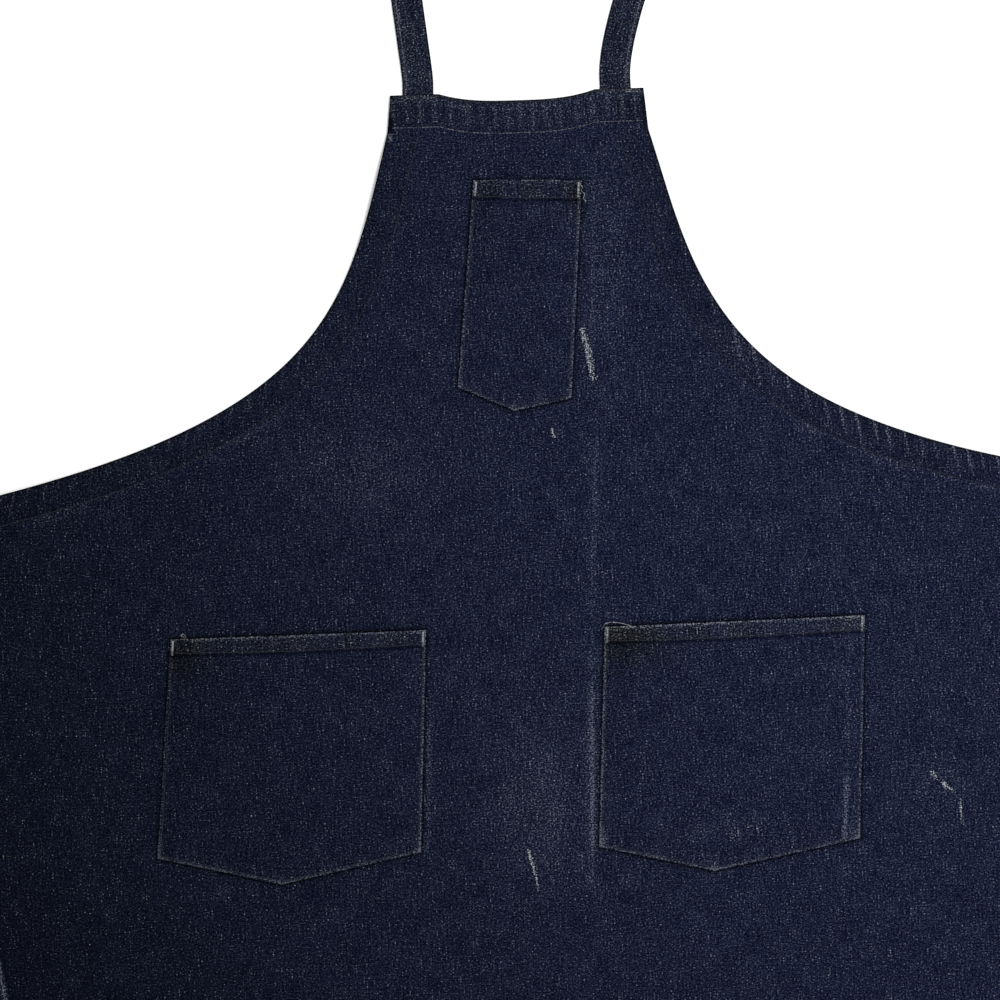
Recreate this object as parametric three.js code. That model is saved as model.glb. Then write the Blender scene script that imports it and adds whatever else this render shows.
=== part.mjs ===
// Denim artist's smock apron, laid out flat with its front face up.
// Millimetres. +X is the viewer's right, +Y the neck end, +Z up out of the front of the cloth.
// Flat work is drawn from the middle of the bib's top edge, and the whole is centred at the end.
import * as THREE from "three";

// ---------- cloth, turnings and thread ----------
const CLOTH = 1.0; // one layer of heavy denim
const TURNING = 1.2; // pressed facing or hem on the wrong side
const AIR = 0.3; // air left between layers that lie on each other
const THREAD = 0.4; // height of a topstitching thread
const THREAD_WIDTH = 0.8;

const PANEL_Z = TURNING + AIR;
const PANEL_TOP = PANEL_Z + CLOTH;
const SURFACE_Z = PANEL_TOP + AIR; // underside of what lies on the panel
const TIE_Z = SURFACE_Z + THREAD + AIR; // ties lie over the topstitching

// ---------- panel ----------
const HALF_WIDTH = 508; // centre line to side edge
const HEM_Y = -945; // bottom edge
const BIB_HALF = 104; // half of the bib's top edge
const BIB_RISE = 7; // the bib's corners stand this far above the dip between the straps
const BIB_DIP_HALF = 64; // half width of that dip
const SIDE_CORNER = [508, -326]; // where the armhole meets the side edge
const ARMHOLE = {
  left: [[107, -23], [147, -177], [166, -262], SIDE_CORNER],
  right: [[107, -27], [146, -162], [151, -278], SIDE_CORNER],
};
const ARMHOLE_STEPS = 22;

// ---------- turnings and their stitching ----------
const BAND = 29; // depth of the bib's turned top
const BAND_STITCH = 27;
const EDGE_STITCH = 2; // close row along an edge
const FACING = 27; // width of the armhole facing
const FACING_STITCH = 25;
const SIDE_HEM = 12;
const SIDE_STITCH = 10;
const BOTTOM_HEM = 25;
const BOTTOM_STITCH = 23;

// ---------- straps ----------
const STRAP = 25.4; // one inch finished width
const STRAP_THICK = 1.2;
const STRAP_STITCH = 3.6; // row of stitching in from the strap's outer edge
const STRAP_X = 81; // strap centre to the centre line, at the bib
const STRAP_END = 24; // length sewn in behind the bib's top
const SEAM_GAP = 0.6; // free play where the neck strap leaves the seam
const TIE_TACK = 18; // side of the square of stitching that holds a tie

// ---------- patch pockets: corners in the plane of the panel ----------
const GAPE = 7; // how far a pocket's front stands off the panel inside
const FLANK = [0, 4, 9, 15, 24]; // distances from a sewn edge over which the front rises
const POCKET_HEM_THICK = 0.8;
const POCKET_STITCH = 2.5;
const POCKET_TACK = { length: 13, width: 2.4, height: 0.8 };
const POCKETS = {
  chest_pocket: {
    topLeft: [-38, -65],
    topRight: [51, -68],
    bottomRight: [37, -246],
    tip: [-10, -255],
    bottomLeft: [-56, -234],
    hem: 15,
  },
  hip_pocket_left: {
    topLeft: [-298, -433],
    topRight: [-88, -432],
    bottomRight: [-98, -614],
    tip: [-213, -637],
    bottomLeft: [-314, -612],
    hem: 13,
  },
  hip_pocket_right: {
    topLeft: [58, -434],
    topRight: [272, -431],
    bottomRight: [262, -614],
    tip: [142, -637],
    bottomLeft: [48, -614],
    hem: 13,
  },
};

// ---------- materials ----------
const DENIM = { color: 0x2b3350, roughness: 0.95, metalness: 0 };
const DENIM_WRONG_SIDE = { color: 0x5d6780, roughness: 0.95, metalness: 0 };
const STITCHING = { color: 0x8d93a3, roughness: 0.8, metalness: 0 };
const PALE_STITCHING = { color: 0xc9ccd4, roughness: 0.8, metalness: 0 };

const apron = new THREE.Group();

function addPiece(name, geometry, look) {
  const piece = new THREE.Mesh(geometry, new THREE.MeshStandardMaterial(look));
  piece.name = name;
  apron.add(piece);
}

// A flat shape with its underside at z.
function slab(shape, z, thickness, curveSegments = ARMHOLE_STEPS) {
  const solid = new THREE.ExtrudeGeometry(shape, { depth: thickness, bevelEnabled: false, curveSegments });
  return solid.translate(0, 0, z);
}

function rectangle(left, bottom, right, top) {
  const shape = new THREE.Shape();
  shape.moveTo(left, bottom);
  shape.lineTo(right, bottom);
  shape.lineTo(right, top);
  shape.lineTo(left, top);
  return shape;
}

// Horizontal unit vectors to the left of a line of points, long enough at a bend to keep a band's width.
function leftNormals(points) {
  const last = points.length - 1;
  const heading = (i) => {
    const step = points[i + 1].clone().sub(points[i]).setZ(0);
    return step.normalize();
  };
  return points.map((_, i) => {
    const before = heading(Math.max(i - 1, 0));
    const after = heading(Math.min(i, last - 1));
    const mean = before.clone().add(after).normalize();
    return new THREE.Vector3(-mean.y, mean.x, 0).divideScalar(Math.max(mean.dot(after), 0.5));
  });
}

// A strip along the middle line `points`. roll(i) turns it about that line at point i, and its
// flat faces have an edge along each distance in `creases`, measured across from the middle line.
function band(points, width, thickness, roll = () => 0, creases = []) {
  const last = points.length - 1;
  const across = leftNormals(points);
  const up = new THREE.Vector3(0, 0, 1);
  const offsets = [-width / 2, ...creases, width / 2];
  const strip = new THREE.BoxGeometry(1, 1, thickness, last, offsets.length - 1, 1);
  const corner = strip.getAttribute("position");
  for (let k = 0; k < corner.count; k++) {
    const i = Math.round((corner.getX(k) + 0.5) * last);
    const offset = offsets[Math.round((corner.getY(k) + 0.5) * (offsets.length - 1))];
    const angle = roll(i);
    const side = across[i].clone().multiplyScalar(Math.cos(angle)).addScaledVector(up, Math.sin(angle));
    const face = up.clone().multiplyScalar(Math.cos(angle)).addScaledVector(across[i], -Math.sin(angle));
    const place = points[i].clone();
    place.addScaledVector(side, offset);
    place.addScaledVector(face, corner.getZ(k));
    corner.setXYZ(k, place.x, place.y, place.z);
  }
  return strip;
}

// The same line moved sideways, positive to its left, and set at height z.
function shifted(points, distance, z) {
  const normals = leftNormals(points);
  return points.map((p, i) => p.clone().addScaledVector(normals[i], distance).setZ(z));
}

function thread(points) {
  return band(points, THREAD_WIDTH, THREAD);
}

function line(...corners) {
  return corners.map(([x, y, z]) => new THREE.Vector3(x, y, z));
}

// Evenly spaced points along a smooth route in plan, mirrored where sign is -1.
function routePoints(route, sign, steps) {
  const places = route.map(([x, y]) => new THREE.Vector3(sign * x, y, 0));
  return new THREE.CatmullRomCurve3(places, false, "centripetal").getSpacedPoints(steps);
}

// ---------- panel and bib ----------
function bibTopY(x) {
  return BIB_RISE * Math.min(Math.abs(x) / BIB_DIP_HALF, 1) ** 3;
}

// The bib's top edge drawn from left to right, with notches for the strap ends where asked.
function drawBibTop(shape, notchDepth = 0) {
  const third = BIB_DIP_HALF / 3;
  const notchHalf = STRAP / 2 + AIR;
  const notch = (x) => {
    shape.lineTo(x - notchHalf, BIB_RISE);
    shape.lineTo(x - notchHalf, BIB_RISE - notchDepth);
    shape.lineTo(x + notchHalf, BIB_RISE - notchDepth);
    shape.lineTo(x + notchHalf, BIB_RISE);
  };
  shape.moveTo(-BIB_HALF, BIB_RISE);
  if (notchDepth) notch(-STRAP_X);
  shape.lineTo(-BIB_DIP_HALF, BIB_RISE);
  shape.bezierCurveTo(-2 * third, 0, -third, 0, 0, 0);
  shape.bezierCurveTo(third, 0, 2 * third, 0, BIB_DIP_HALF, BIB_RISE);
  if (notchDepth) notch(STRAP_X);
  shape.lineTo(BIB_HALF, BIB_RISE);
}

function panelShape() {
  const shape = new THREE.Shape();
  const [start, outA, outB, corner] = ARMHOLE.right;
  const [end, backB, backA] = ARMHOLE.left;
  drawBibTop(shape);
  shape.lineTo(...start);
  shape.bezierCurveTo(...outA, ...outB, ...corner);
  shape.lineTo(HALF_WIDTH, HEM_Y);
  shape.lineTo(-HALF_WIDTH, HEM_Y);
  shape.lineTo(-SIDE_CORNER[0], SIDE_CORNER[1]);
  shape.bezierCurveTo(-backA[0], backA[1], -backB[0], backB[1], -end[0], end[1]);
  return shape;
}

function bibFacingShape() {
  const shape = new THREE.Shape();
  const third = BIB_DIP_HALF / 3;
  drawBibTop(shape, STRAP_END + AIR);
  shape.lineTo(ARMHOLE.right[0][0] - 1, BIB_RISE - BAND);
  shape.lineTo(BIB_DIP_HALF, BIB_RISE - BAND);
  shape.bezierCurveTo(2 * third, -BAND, third, -BAND, 0, -BAND);
  shape.bezierCurveTo(-third, -BAND, -2 * third, -BAND, -BIB_DIP_HALF, BIB_RISE - BAND);
  shape.lineTo(-ARMHOLE.left[0][0] + 1, BIB_RISE - BAND);
  return shape;
}

// A row of stitching that keeps the same depth below the bib's top edge.
function bibRow(depth, half) {
  const steps = 24;
  return Array.from({ length: steps + 1 }, (_, i) => {
    const x = half * ((2 * i) / steps - 1);
    return new THREE.Vector3(x, bibTopY(x) - depth, SURFACE_Z + THREAD / 2);
  });
}

function armholeLine(side) {
  const sign = side === "left" ? -1 : 1;
  const controls = ARMHOLE[side].map(([x, y]) => new THREE.Vector3(sign * x, y, 0));
  return new THREE.CubicBezierCurve3(...controls).getPoints(ARMHOLE_STEPS);
}

function buildPanel() {
  addPiece("body_panel", slab(panelShape(), PANEL_Z, CLOTH), DENIM);
  addPiece("bib_facing", slab(bibFacingShape(), 0, TURNING, 6), DENIM_WRONG_SIDE);
  addPiece("bib_hem_stitching", thread(bibRow(BAND_STITCH, BIB_HALF - 1)), STITCHING);
  addPiece("bib_edge_stitching", thread(bibRow(EDGE_STITCH, BIB_HALF - 2)), STITCHING);
  const hemSide = HALF_WIDTH - SIDE_HEM - AIR;
  const hem = rectangle(-hemSide, HEM_Y, hemSide, HEM_Y + BOTTOM_HEM);
  addPiece("bottom_hem", slab(hem, 0, TURNING), DENIM_WRONG_SIDE);
  const stitchY = HEM_Y + BOTTOM_STITCH;
  const stitchX = HALF_WIDTH - SIDE_STITCH;
  const z = SURFACE_Z + THREAD / 2;
  addPiece("bottom_hem_stitching", thread(line([-stitchX, stitchY, z], [stitchX, stitchY, z])), STITCHING);
}

function buildSide(side) {
  const sign = side === "left" ? -1 : 1;
  const edge = armholeLine(side);
  const facing = shifted(edge, (-sign * FACING) / 2, TURNING / 2);
  addPiece(`armhole_facing_${side}`, band(facing, FACING, TURNING), DENIM_WRONG_SIDE);
  const row = shifted(edge, -sign * FACING_STITCH, SURFACE_Z + THREAD / 2);
  addPiece(`armhole_stitching_${side}`, thread(row), STITCHING);
  const hemTop = SIDE_CORNER[1] - FACING - 1;
  const inner = sign * (HALF_WIDTH - SIDE_HEM);
  const outer = sign * HALF_WIDTH;
  const hem = rectangle(Math.min(inner, outer), HEM_Y, Math.max(inner, outer), hemTop);
  addPiece(`side_hem_${side}`, slab(hem, 0, TURNING), DENIM_WRONG_SIDE);
  const x = sign * (HALF_WIDTH - SIDE_STITCH);
  const z = SURFACE_Z + THREAD / 2;
  const stitch = line([x, hemTop - 2, z], [x, HEM_Y + BOTTOM_STITCH + 2, z]);
  addPiece(`side_hem_stitching_${side}`, thread(stitch), STITCHING);
}

// ---------- patch pockets ----------
const smooth = (s) => THREE.MathUtils.smoothstep(s, 0, FLANK.at(-1));

// The point of a pocket's front at u across (0 left, 1 right) and v up (0 sewn bottom, 1 mouth).
function pocketPoint(pocket, u, v, lift) {
  const corner = (name) => new THREE.Vector2(...pocket[name]);
  const left = corner("bottomLeft").lerp(corner("topLeft"), v);
  const right = corner("bottomRight").lerp(corner("topRight"), v);
  const tipU = pocketTipU(pocket);
  const foot = corner("bottomLeft").lerp(corner("bottomRight"), tipU);
  const drop = corner("tip").sub(foot);
  const share = u < tipU ? u / tipU : (1 - u) / (1 - tipU);
  const place = left.clone().lerp(right, u).addScaledVector(drop, share * (1 - v));
  const width = left.distanceTo(right);
  const height = corner("topLeft").distanceTo(corner("bottomLeft"));
  const rise = GAPE * smooth(Math.min(u, 1 - u) * width) * smooth(v * height);
  return new THREE.Vector3(place.x, place.y, SURFACE_Z + rise + lift);
}

function pocketTipU(pocket) {
  return (pocket.tip[0] - pocket.bottomLeft[0]) / (pocket.bottomRight[0] - pocket.bottomLeft[0]);
}

function pocketSize(pocket) {
  const corner = (name) => new THREE.Vector2(...pocket[name]);
  return {
    width: corner("topLeft").distanceTo(corner("topRight")),
    height: corner("topLeft").distanceTo(corner("bottomLeft")),
  };
}

// Shares of the width at the front's grid lines: close together over both flanks.
function acrossShares(pocket) {
  const { width } = pocketSize(pocket);
  const rising = FLANK.map((s) => s / width);
  return [...rising, pocketTipU(pocket), ...rising.map((s) => 1 - s).reverse()];
}

function upShares(pocket) {
  const { height } = pocketSize(pocket);
  return [...FLANK.map((s) => s / height), 0.5, 1];
}

// A piece of cloth that follows a pocket's front, from one lift above it to another.
function pocketCloth(pocket, us, vs, liftLow, liftHigh) {
  const cloth = new THREE.BoxGeometry(1, 1, 1, us.length - 1, vs.length - 1, 1);
  const corner = cloth.getAttribute("position");
  for (let k = 0; k < corner.count; k++) {
    const u = us[Math.round((corner.getX(k) + 0.5) * (us.length - 1))];
    const v = vs[Math.round((corner.getY(k) + 0.5) * (vs.length - 1))];
    const lift = corner.getZ(k) < 0 ? liftLow : liftHigh;
    const place = pocketPoint(pocket, u, v, lift);
    corner.setXYZ(k, place.x, place.y, place.z);
  }
  return cloth;
}

function stadium(length, width) {
  const r = width / 2;
  const half = length / 2 - r;
  const shape = new THREE.Shape();
  shape.absarc(0, half, r, 0, Math.PI);
  shape.absarc(0, -half, r, Math.PI, 2 * Math.PI);
  return shape;
}

// A short dense bar of stitching beside a pocket's mouth, in line with the pocket's side.
function pocketTack(pocket, side) {
  const top = new THREE.Vector2(...pocket[side === "left" ? "topLeft" : "topRight"]);
  const bottom = new THREE.Vector2(...pocket[side === "left" ? "bottomLeft" : "bottomRight"]);
  const inward = side === "left" ? 1 : -1;
  const along = bottom.clone().sub(top).normalize();
  const lean = Math.atan2(along.x, -along.y);
  const middle = top.clone().addScaledVector(along, POCKET_TACK.length / 2 + 1);
  const bar = slab(stadium(POCKET_TACK.length, POCKET_TACK.width), 0, POCKET_TACK.height, 6);
  bar.rotateZ(lean);
  return bar.translate(middle.x + inward * POCKET_STITCH, middle.y, SURFACE_Z + CLOTH + 2.5 * AIR);
}

function buildPocket(name, pocket) {
  const { width, height } = pocketSize(pocket);
  const us = acrossShares(pocket);
  addPiece(name, pocketCloth(pocket, us, upShares(pocket), 0, CLOTH), DENIM);
  const hemV = 1 - pocket.hem / height;
  const hemUs = us.slice(2, -2);
  const hemLow = -AIR - POCKET_HEM_THICK;
  addPiece(`${name}_hem`, pocketCloth(pocket, hemUs, [hemV, 1], hemLow, -AIR), DENIM_WRONG_SIDE);

  const lift = CLOTH + AIR + 0.5 * THREAD;
  const row = us.slice(1, -1).map((u) => pocketPoint(pocket, u, hemV + 1.5 / height, lift));
  addPiece(`${name}_hem_stitching`, thread(row), STITCHING);

  const inU = POCKET_STITCH / width;
  const inV = POCKET_STITCH / height;
  const topV = 1 - (POCKET_TACK.length + 4) / height;
  const corners = [[inU, topV], [inU, inV], [pocketTipU(pocket), inV], [1 - inU, inV], [1 - inU, topV]];
  const seam = corners.map(([u, v]) => pocketPoint(pocket, u, v, lift + AIR));
  addPiece(`${name}_stitching`, thread(seam), STITCHING);
  addPiece(`${name}_tack_left`, pocketTack(pocket, "left"), PALE_STITCHING);
  addPiece(`${name}_tack_right`, pocketTack(pocket, "right"), PALE_STITCHING);
}

// ---------- neck strap ----------
// Middle line of the loop in plan, from the left seam round to the right seam.
const NECK_ROUTE = [
  [-STRAP_X, BIB_RISE + SEAM_GAP],
  [-81, 20], [-84, 50], [-88, 87], [-94, 150], [-82, 203], [-45, 240], [8, 254], [62, 244],
  [103, 209], [117, 155], [107, 112], [94, 78], [84, 42], [81, 22],
  [STRAP_X, BIB_RISE + SEAM_GAP],
];
const NECK_STEPS = 84;
const TWIST_FROM = 0.15; // shares of the length between which the strap turns up on edge
const TWIST_TO = 0.27;

// The strap lies flat beside the bib and stands on its outer edge round the back of the neck.
function neckRoll(i) {
  const fromEnd = Math.min(i, NECK_STEPS - i) / NECK_STEPS;
  return (-Math.PI / 2) * THREE.MathUtils.smoothstep(fromEnd, TWIST_FROM, TWIST_TO);
}

function neckLine() {
  return routePoints(NECK_ROUTE, 1, NECK_STEPS).map((p, i) => {
    const angle = neckRoll(i);
    return p.setZ((STRAP / 2) * Math.abs(Math.sin(angle)) + (STRAP_THICK / 2) * Math.cos(angle));
  });
}

function buildNeckStrap() {
  const middle = neckLine();
  const outward = STRAP / 2 - STRAP_STITCH;
  addPiece("neck_strap", band(middle, STRAP, STRAP_THICK, neckRoll, [outward]), DENIM);
  const normals = leftNormals(middle);
  const up = new THREE.Vector3(0, 0, 1);
  const proud = STRAP_THICK / 2 + AIR + THREAD / 2;
  const row = middle.map((p, i) => {
    const angle = neckRoll(i);
    const place = p.clone();
    place.addScaledVector(normals[i], outward * Math.cos(angle) - proud * Math.sin(angle));
    return place.addScaledVector(up, outward * Math.sin(angle) + proud * Math.cos(angle));
  });
  const stitching = band(row.slice(1, -1), THREAD_WIDTH, THREAD, (i) => neckRoll(i + 1));
  addPiece("neck_strap_stitching", stitching, STITCHING);
  for (const [side, sign] of [["left", -1], ["right", 1]]) {
    const x = sign * STRAP_X;
    const end = rectangle(x - STRAP / 2, BIB_RISE - STRAP_END, x + STRAP / 2, BIB_RISE);
    addPiece(`neck_strap_end_${side}`, slab(end, 0, TURNING), DENIM);
  }
}

// ---------- waist ties ----------
// Middle line of the left tie in plan; the right one is its mirror image.
const TIE_ROUTE = [
  [494, -331], [493, -370], [489, -440], [479, -540], [464, -640], [451, -726],
  [436, -785], [404, -842], [352, -882], [290, -901], [240, -905], [186, -903],
];
const TIE_STEPS = 52;

function buildTie(side) {
  const sign = side === "left" ? -1 : 1;
  const middle = routePoints(TIE_ROUTE, sign, TIE_STEPS).map((p) => p.setZ(TIE_Z + STRAP_THICK / 2));
  addPiece(`waist_tie_${side}`, band(middle, STRAP, STRAP_THICK), DENIM);
  const row = shifted(middle, -sign * (STRAP / 2 - STRAP_STITCH), TIE_Z + STRAP_THICK + AIR + THREAD / 2);
  addPiece(`waist_tie_stitching_${side}`, thread(row.slice(3)), STITCHING);
  addPiece(`waist_tie_tack_${side}`, tieTack(sign), STITCHING);
}

// A square of stitching through the tie's sewn end and the panel.
function tieTack(sign) {
  const x = sign * TIE_ROUTE[0][0];
  const y = TIE_ROUTE[0][1] - STRAP / 2;
  const half = TIE_TACK / 2;
  const inner = half - THREAD_WIDTH;
  const square = rectangle(x - half, y - half, x + half, y + half);
  square.holes.push(rectangle(x - inner, y - inner, x + inner, y + inner));
  return slab(square, TIE_Z + STRAP_THICK + AIR, THREAD);
}

buildPanel();
buildSide("left");
buildSide("right");
for (const [name, pocket] of Object.entries(POCKETS)) buildPocket(name, pocket);
buildNeckStrap();
buildTie("left");
buildTie("right");

// The origin is the middle of the laid-out apron, on the surface that it lies on.
const extent = new THREE.Box3().setFromObject(apron);
const centre = extent.getCenter(new THREE.Vector3());
apron.position.set(-centre.x, -centre.y, -extent.min.z);

export default apron;
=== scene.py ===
"""Artist's smock apron in worn dark denim, laid out flat with its front face up.

Lengths here are millimetres, drawn as in the CAD: x to the viewer's right, y towards the neck
from the middle of the bib's top edge, z up from the floor. to_row() turns them into metres in
the frame's own coordinates.
"""

import math

import bpy
import numpy as np
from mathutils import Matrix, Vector
from mathutils.geometry import delaunay_2d_cdt
from mathutils.kdtree import KDTree


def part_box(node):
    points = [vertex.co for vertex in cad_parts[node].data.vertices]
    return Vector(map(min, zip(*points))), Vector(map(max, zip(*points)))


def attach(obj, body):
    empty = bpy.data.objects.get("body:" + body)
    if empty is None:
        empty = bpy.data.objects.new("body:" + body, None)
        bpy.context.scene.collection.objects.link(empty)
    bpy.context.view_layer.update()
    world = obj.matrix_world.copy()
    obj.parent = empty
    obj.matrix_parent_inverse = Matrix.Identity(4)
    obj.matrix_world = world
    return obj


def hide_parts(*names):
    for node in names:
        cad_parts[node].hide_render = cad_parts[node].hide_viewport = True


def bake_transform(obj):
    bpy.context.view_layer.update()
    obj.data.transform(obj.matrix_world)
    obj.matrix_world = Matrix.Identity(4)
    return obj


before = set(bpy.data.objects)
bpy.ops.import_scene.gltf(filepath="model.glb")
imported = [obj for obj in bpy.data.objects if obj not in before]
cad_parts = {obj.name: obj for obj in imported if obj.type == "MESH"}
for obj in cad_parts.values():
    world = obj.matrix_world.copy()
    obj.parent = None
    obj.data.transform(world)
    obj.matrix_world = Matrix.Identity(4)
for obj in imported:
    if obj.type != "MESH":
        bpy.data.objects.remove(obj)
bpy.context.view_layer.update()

MM = 0.001
SEED = 20

# ---------- cloth, turnings and thread, as in the CAD ----------
CLOTH = 1.0  # one layer of heavy denim
TURNING = 1.2  # a pressed facing or hem on the wrong side
PANEL_Z = 1.5
PANEL_TOP = PANEL_Z + CLOTH
SURFACE_Z = 2.8  # underside of what lies on the panel
TIE_Z = 3.5  # underside of a waist tie

HALF_WIDTH = 508
HEM_Y = -945
BIB_HALF = 104
BIB_RISE = 7
BIB_DIP_HALF = 64
SIDE_CORNER = (508, -326)
ARMHOLE = {
    "left": ((-107, -23), (-147, -177), (-166, -262), (-508, -326)),
    "right": ((107, -27), (146, -162), (151, -278), (508, -326)),
}
BAND = 29
BAND_STITCH = 27
EDGE_STITCH = 2
FACING = 27
FACING_STITCH = 25
SIDE_HEM = 12
SIDE_STITCH = 10
BOTTOM_HEM = 25
BOTTOM_STITCH = 23
STRAP = 25.4
STRAP_THICK = 1.2
STRAP_STITCH = 3.6  # row of stitching in from a strap's outer edge
STRAP_X = 81
STRAP_END = 24
TIE_TACK = 18
POCKET_STITCH = 2.5
POCKETS = {
    "chest_pocket": {
        "top_left": (-38, -65),
        "top_right": (51, -68),
        "bottom_right": (37, -246),
        "tip": (-10, -255),
        "bottom_left": (-56, -234),
        "hem": 15,
    },
    "hip_pocket_left": {
        "top_left": (-298, -433),
        "top_right": (-88, -432),
        "bottom_right": (-98, -614),
        "tip": (-213, -637),
        "bottom_left": (-314, -612),
        "hem": 13,
    },
    "hip_pocket_right": {
        "top_left": (58, -434),
        "top_right": (272, -431),
        "bottom_right": (262, -614),
        "tip": (142, -637),
        "bottom_left": (48, -614),
        "hem": 13,
    },
}
NECK_ROUTE = (
    (-81, 7.6), (-81, 20), (-84, 50), (-88, 87), (-94, 150), (-82, 203), (-45, 240), (8, 254),
    (62, 244), (103, 209), (117, 155), (107, 112), (94, 78), (84, 42), (81, 22), (81, 7.6),
)
NECK_TWIST = (0.15, 0.27)  # shares of its length over which the strap turns up on edge
TIE_ROUTE = (
    (494, -331), (493, -370), (489, -440), (479, -540), (464, -640), (451, -726),
    (436, -785), (404, -842), (352, -882), (290, -901), (240, -905), (186, -903),
)

# The frame's y is the drawing's y moved up by this much.
ROW_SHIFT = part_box("body_panel")[0][1] / MM - HEM_Y


def to_row(points):
    """Drawing millimetres to the frame's metres."""
    return (np.asarray(points, float) + (0, ROW_SHIFT, 0)) * MM


SIGN = {"left": -1, "right": 1}


def smoothstep(value, low, high):
    share = np.clip((value - low) / (high - low), 0, 1)
    return share * share * (3 - 2 * share)


# ---------- lines in the plane of the cloth ----------
CURVE_STEPS = 240


def bezier(controls):
    t = np.linspace(0, 1, CURVE_STEPS + 1)[:, None]
    a, b, c, d = (np.array(p, float) for p in controls)
    return (1 - t) ** 3 * a + 3 * (1 - t) ** 2 * t * b + 3 * (1 - t) * t * t * c + t**3 * d


def lengths_along(line):
    steps = np.linalg.norm(np.diff(line, axis=0), axis=1)
    return np.concatenate([[0], np.cumsum(steps)])


def resample(line, spacing):
    """The same line with evenly spaced points, both of its ends kept."""
    line = np.asarray(line, float)
    along = lengths_along(line)
    count = max(int(round(along[-1] / spacing)), 1)
    places = np.linspace(0, along[-1], count + 1)
    return np.stack([np.interp(places, along, line[:, k]) for k in range(line.shape[1])], axis=1)


def left_normals(line):
    """Horizontal unit vectors to the left of a line's points."""
    heading = np.gradient(np.asarray(line, float)[:, :2], axis=0)
    heading /= np.linalg.norm(heading, axis=1)[:, None]
    return np.stack([-heading[:, 1], heading[:, 0]], axis=1)


def moved_left(line, distance):
    return np.asarray(line, float)[:, :2] + left_normals(line) * distance


def distance_to_line(points, line):
    """Each point's distance to the line, and how far along the line the nearest place is."""
    start, step = line[:-1], np.diff(line, axis=0)
    squared = (step**2).sum(axis=1)
    along = lengths_along(line)[:-1]
    nearest = np.empty(len(points))
    place = np.empty(len(points))
    for first in range(0, len(points), 4000):
        part = points[first : first + 4000, None, :2] - start[None]
        share = np.clip((part * step).sum(axis=2) / squared, 0, 1)
        gap = np.linalg.norm(part - share[..., None] * step, axis=2)
        best = gap.argmin(axis=1)
        rows = np.arange(len(best))
        nearest[first : first + 4000] = gap[rows, best]
        place[first : first + 4000] = along[best] + share[rows, best] * np.sqrt(squared[best])
    return nearest, place


def catmull_rom(route, steps):
    """Evenly spaced points on a centripetal Catmull-Rom curve, as the CAD draws its straps."""
    # The curve runs from its first point to its last, so one more is put beyond each.
    points = [np.array(p, float) for p in route]
    points = [2 * points[0] - points[1]] + points + [2 * points[-1] - points[-2]]
    curve = []
    for p0, p1, p2, p3 in zip(points, points[1:], points[2:], points[3:]):
        d0, d1, d2 = (
            max(np.linalg.norm(b - a), 1e-4) ** 0.5 for a, b in ((p0, p1), (p1, p2), (p2, p3))
        )
        t1 = (p1 - p0) / d0 - (p2 - p0) / (d0 + d1) + (p2 - p1) / d1
        t2 = (p2 - p1) / d1 - (p3 - p1) / (d1 + d2) + (p3 - p2) / d2
        t1, t2 = t1 * d1, t2 * d1
        t = np.linspace(0, 1, 60, endpoint=False)[:, None]
        c2, c3 = -3 * p1 + 3 * p2 - 2 * t1 - t2, 2 * p1 - 2 * p2 + t1 + t2
        curve.append(p1 + t1 * t + c2 * t**2 + c3 * t**3)
    curve.append(points[-2][None])
    curve = np.concatenate(curve)
    return resample(curve, lengths_along(curve)[-1] / steps)


def bib_top_y(x):
    return BIB_RISE * np.minimum(np.abs(x) / BIB_DIP_HALF, 1) ** 3


def bib_line(depth, half=BIB_HALF, spacing=2.0):
    """The line at that depth below the bib's top edge, from left to right."""
    x = np.linspace(-half, half, int(2 * half / spacing) + 1)
    return np.stack([x, bib_top_y(x) - depth], axis=1)


ARMHOLE_LINE = {side: bezier(controls) for side, controls in ARMHOLE.items()}


def armhole_row(side, distance, spacing=2.0):
    """The line at that distance inside an armhole's edge, from the bib out to the side."""
    return resample(moved_left(ARMHOLE_LINE[side], -SIGN[side] * distance), spacing)


def panel_outline():
    right, left = ARMHOLE_LINE["right"], ARMHOLE_LINE["left"]
    runs = [
        bib_line(0),
        resample([(BIB_HALF, BIB_RISE), right[0]], 2),
        resample(right, 2),
        resample([SIDE_CORNER, (HALF_WIDTH, HEM_Y)], 3),
        resample([(HALF_WIDTH, HEM_Y), (-HALF_WIDTH, HEM_Y)], 3),
        resample([(-HALF_WIDTH, HEM_Y), left[-1]], 3),
        resample(left[::-1], 2),
        resample([left[0], (-BIB_HALF, BIB_RISE)], 2),
    ]
    return np.concatenate([run[:-1] for run in runs])


# ---------- how the cloth lies ----------
LIE_STEP = 24  # spacing of the coarse sheet that is simulated
LIE_SPARE = 0.02  # share by which that sheet is longer and wider than the edge that holds it
LIE_START = 9  # height of the loose waves that it starts with
LIE_WAVES = 14  # number of those waves
LIE_FRAMES = 26  # frames of simulation: its buckles still move a little when it is stopped
LIE_STIFF = 30  # its bending stiffness
LIE_LEVEL = 8  # percentile of its heights that is taken as the level it lies at
LIE_MOST = 6.5  # chosen height of the highest buckle: the simulated heights are scaled to it


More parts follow.
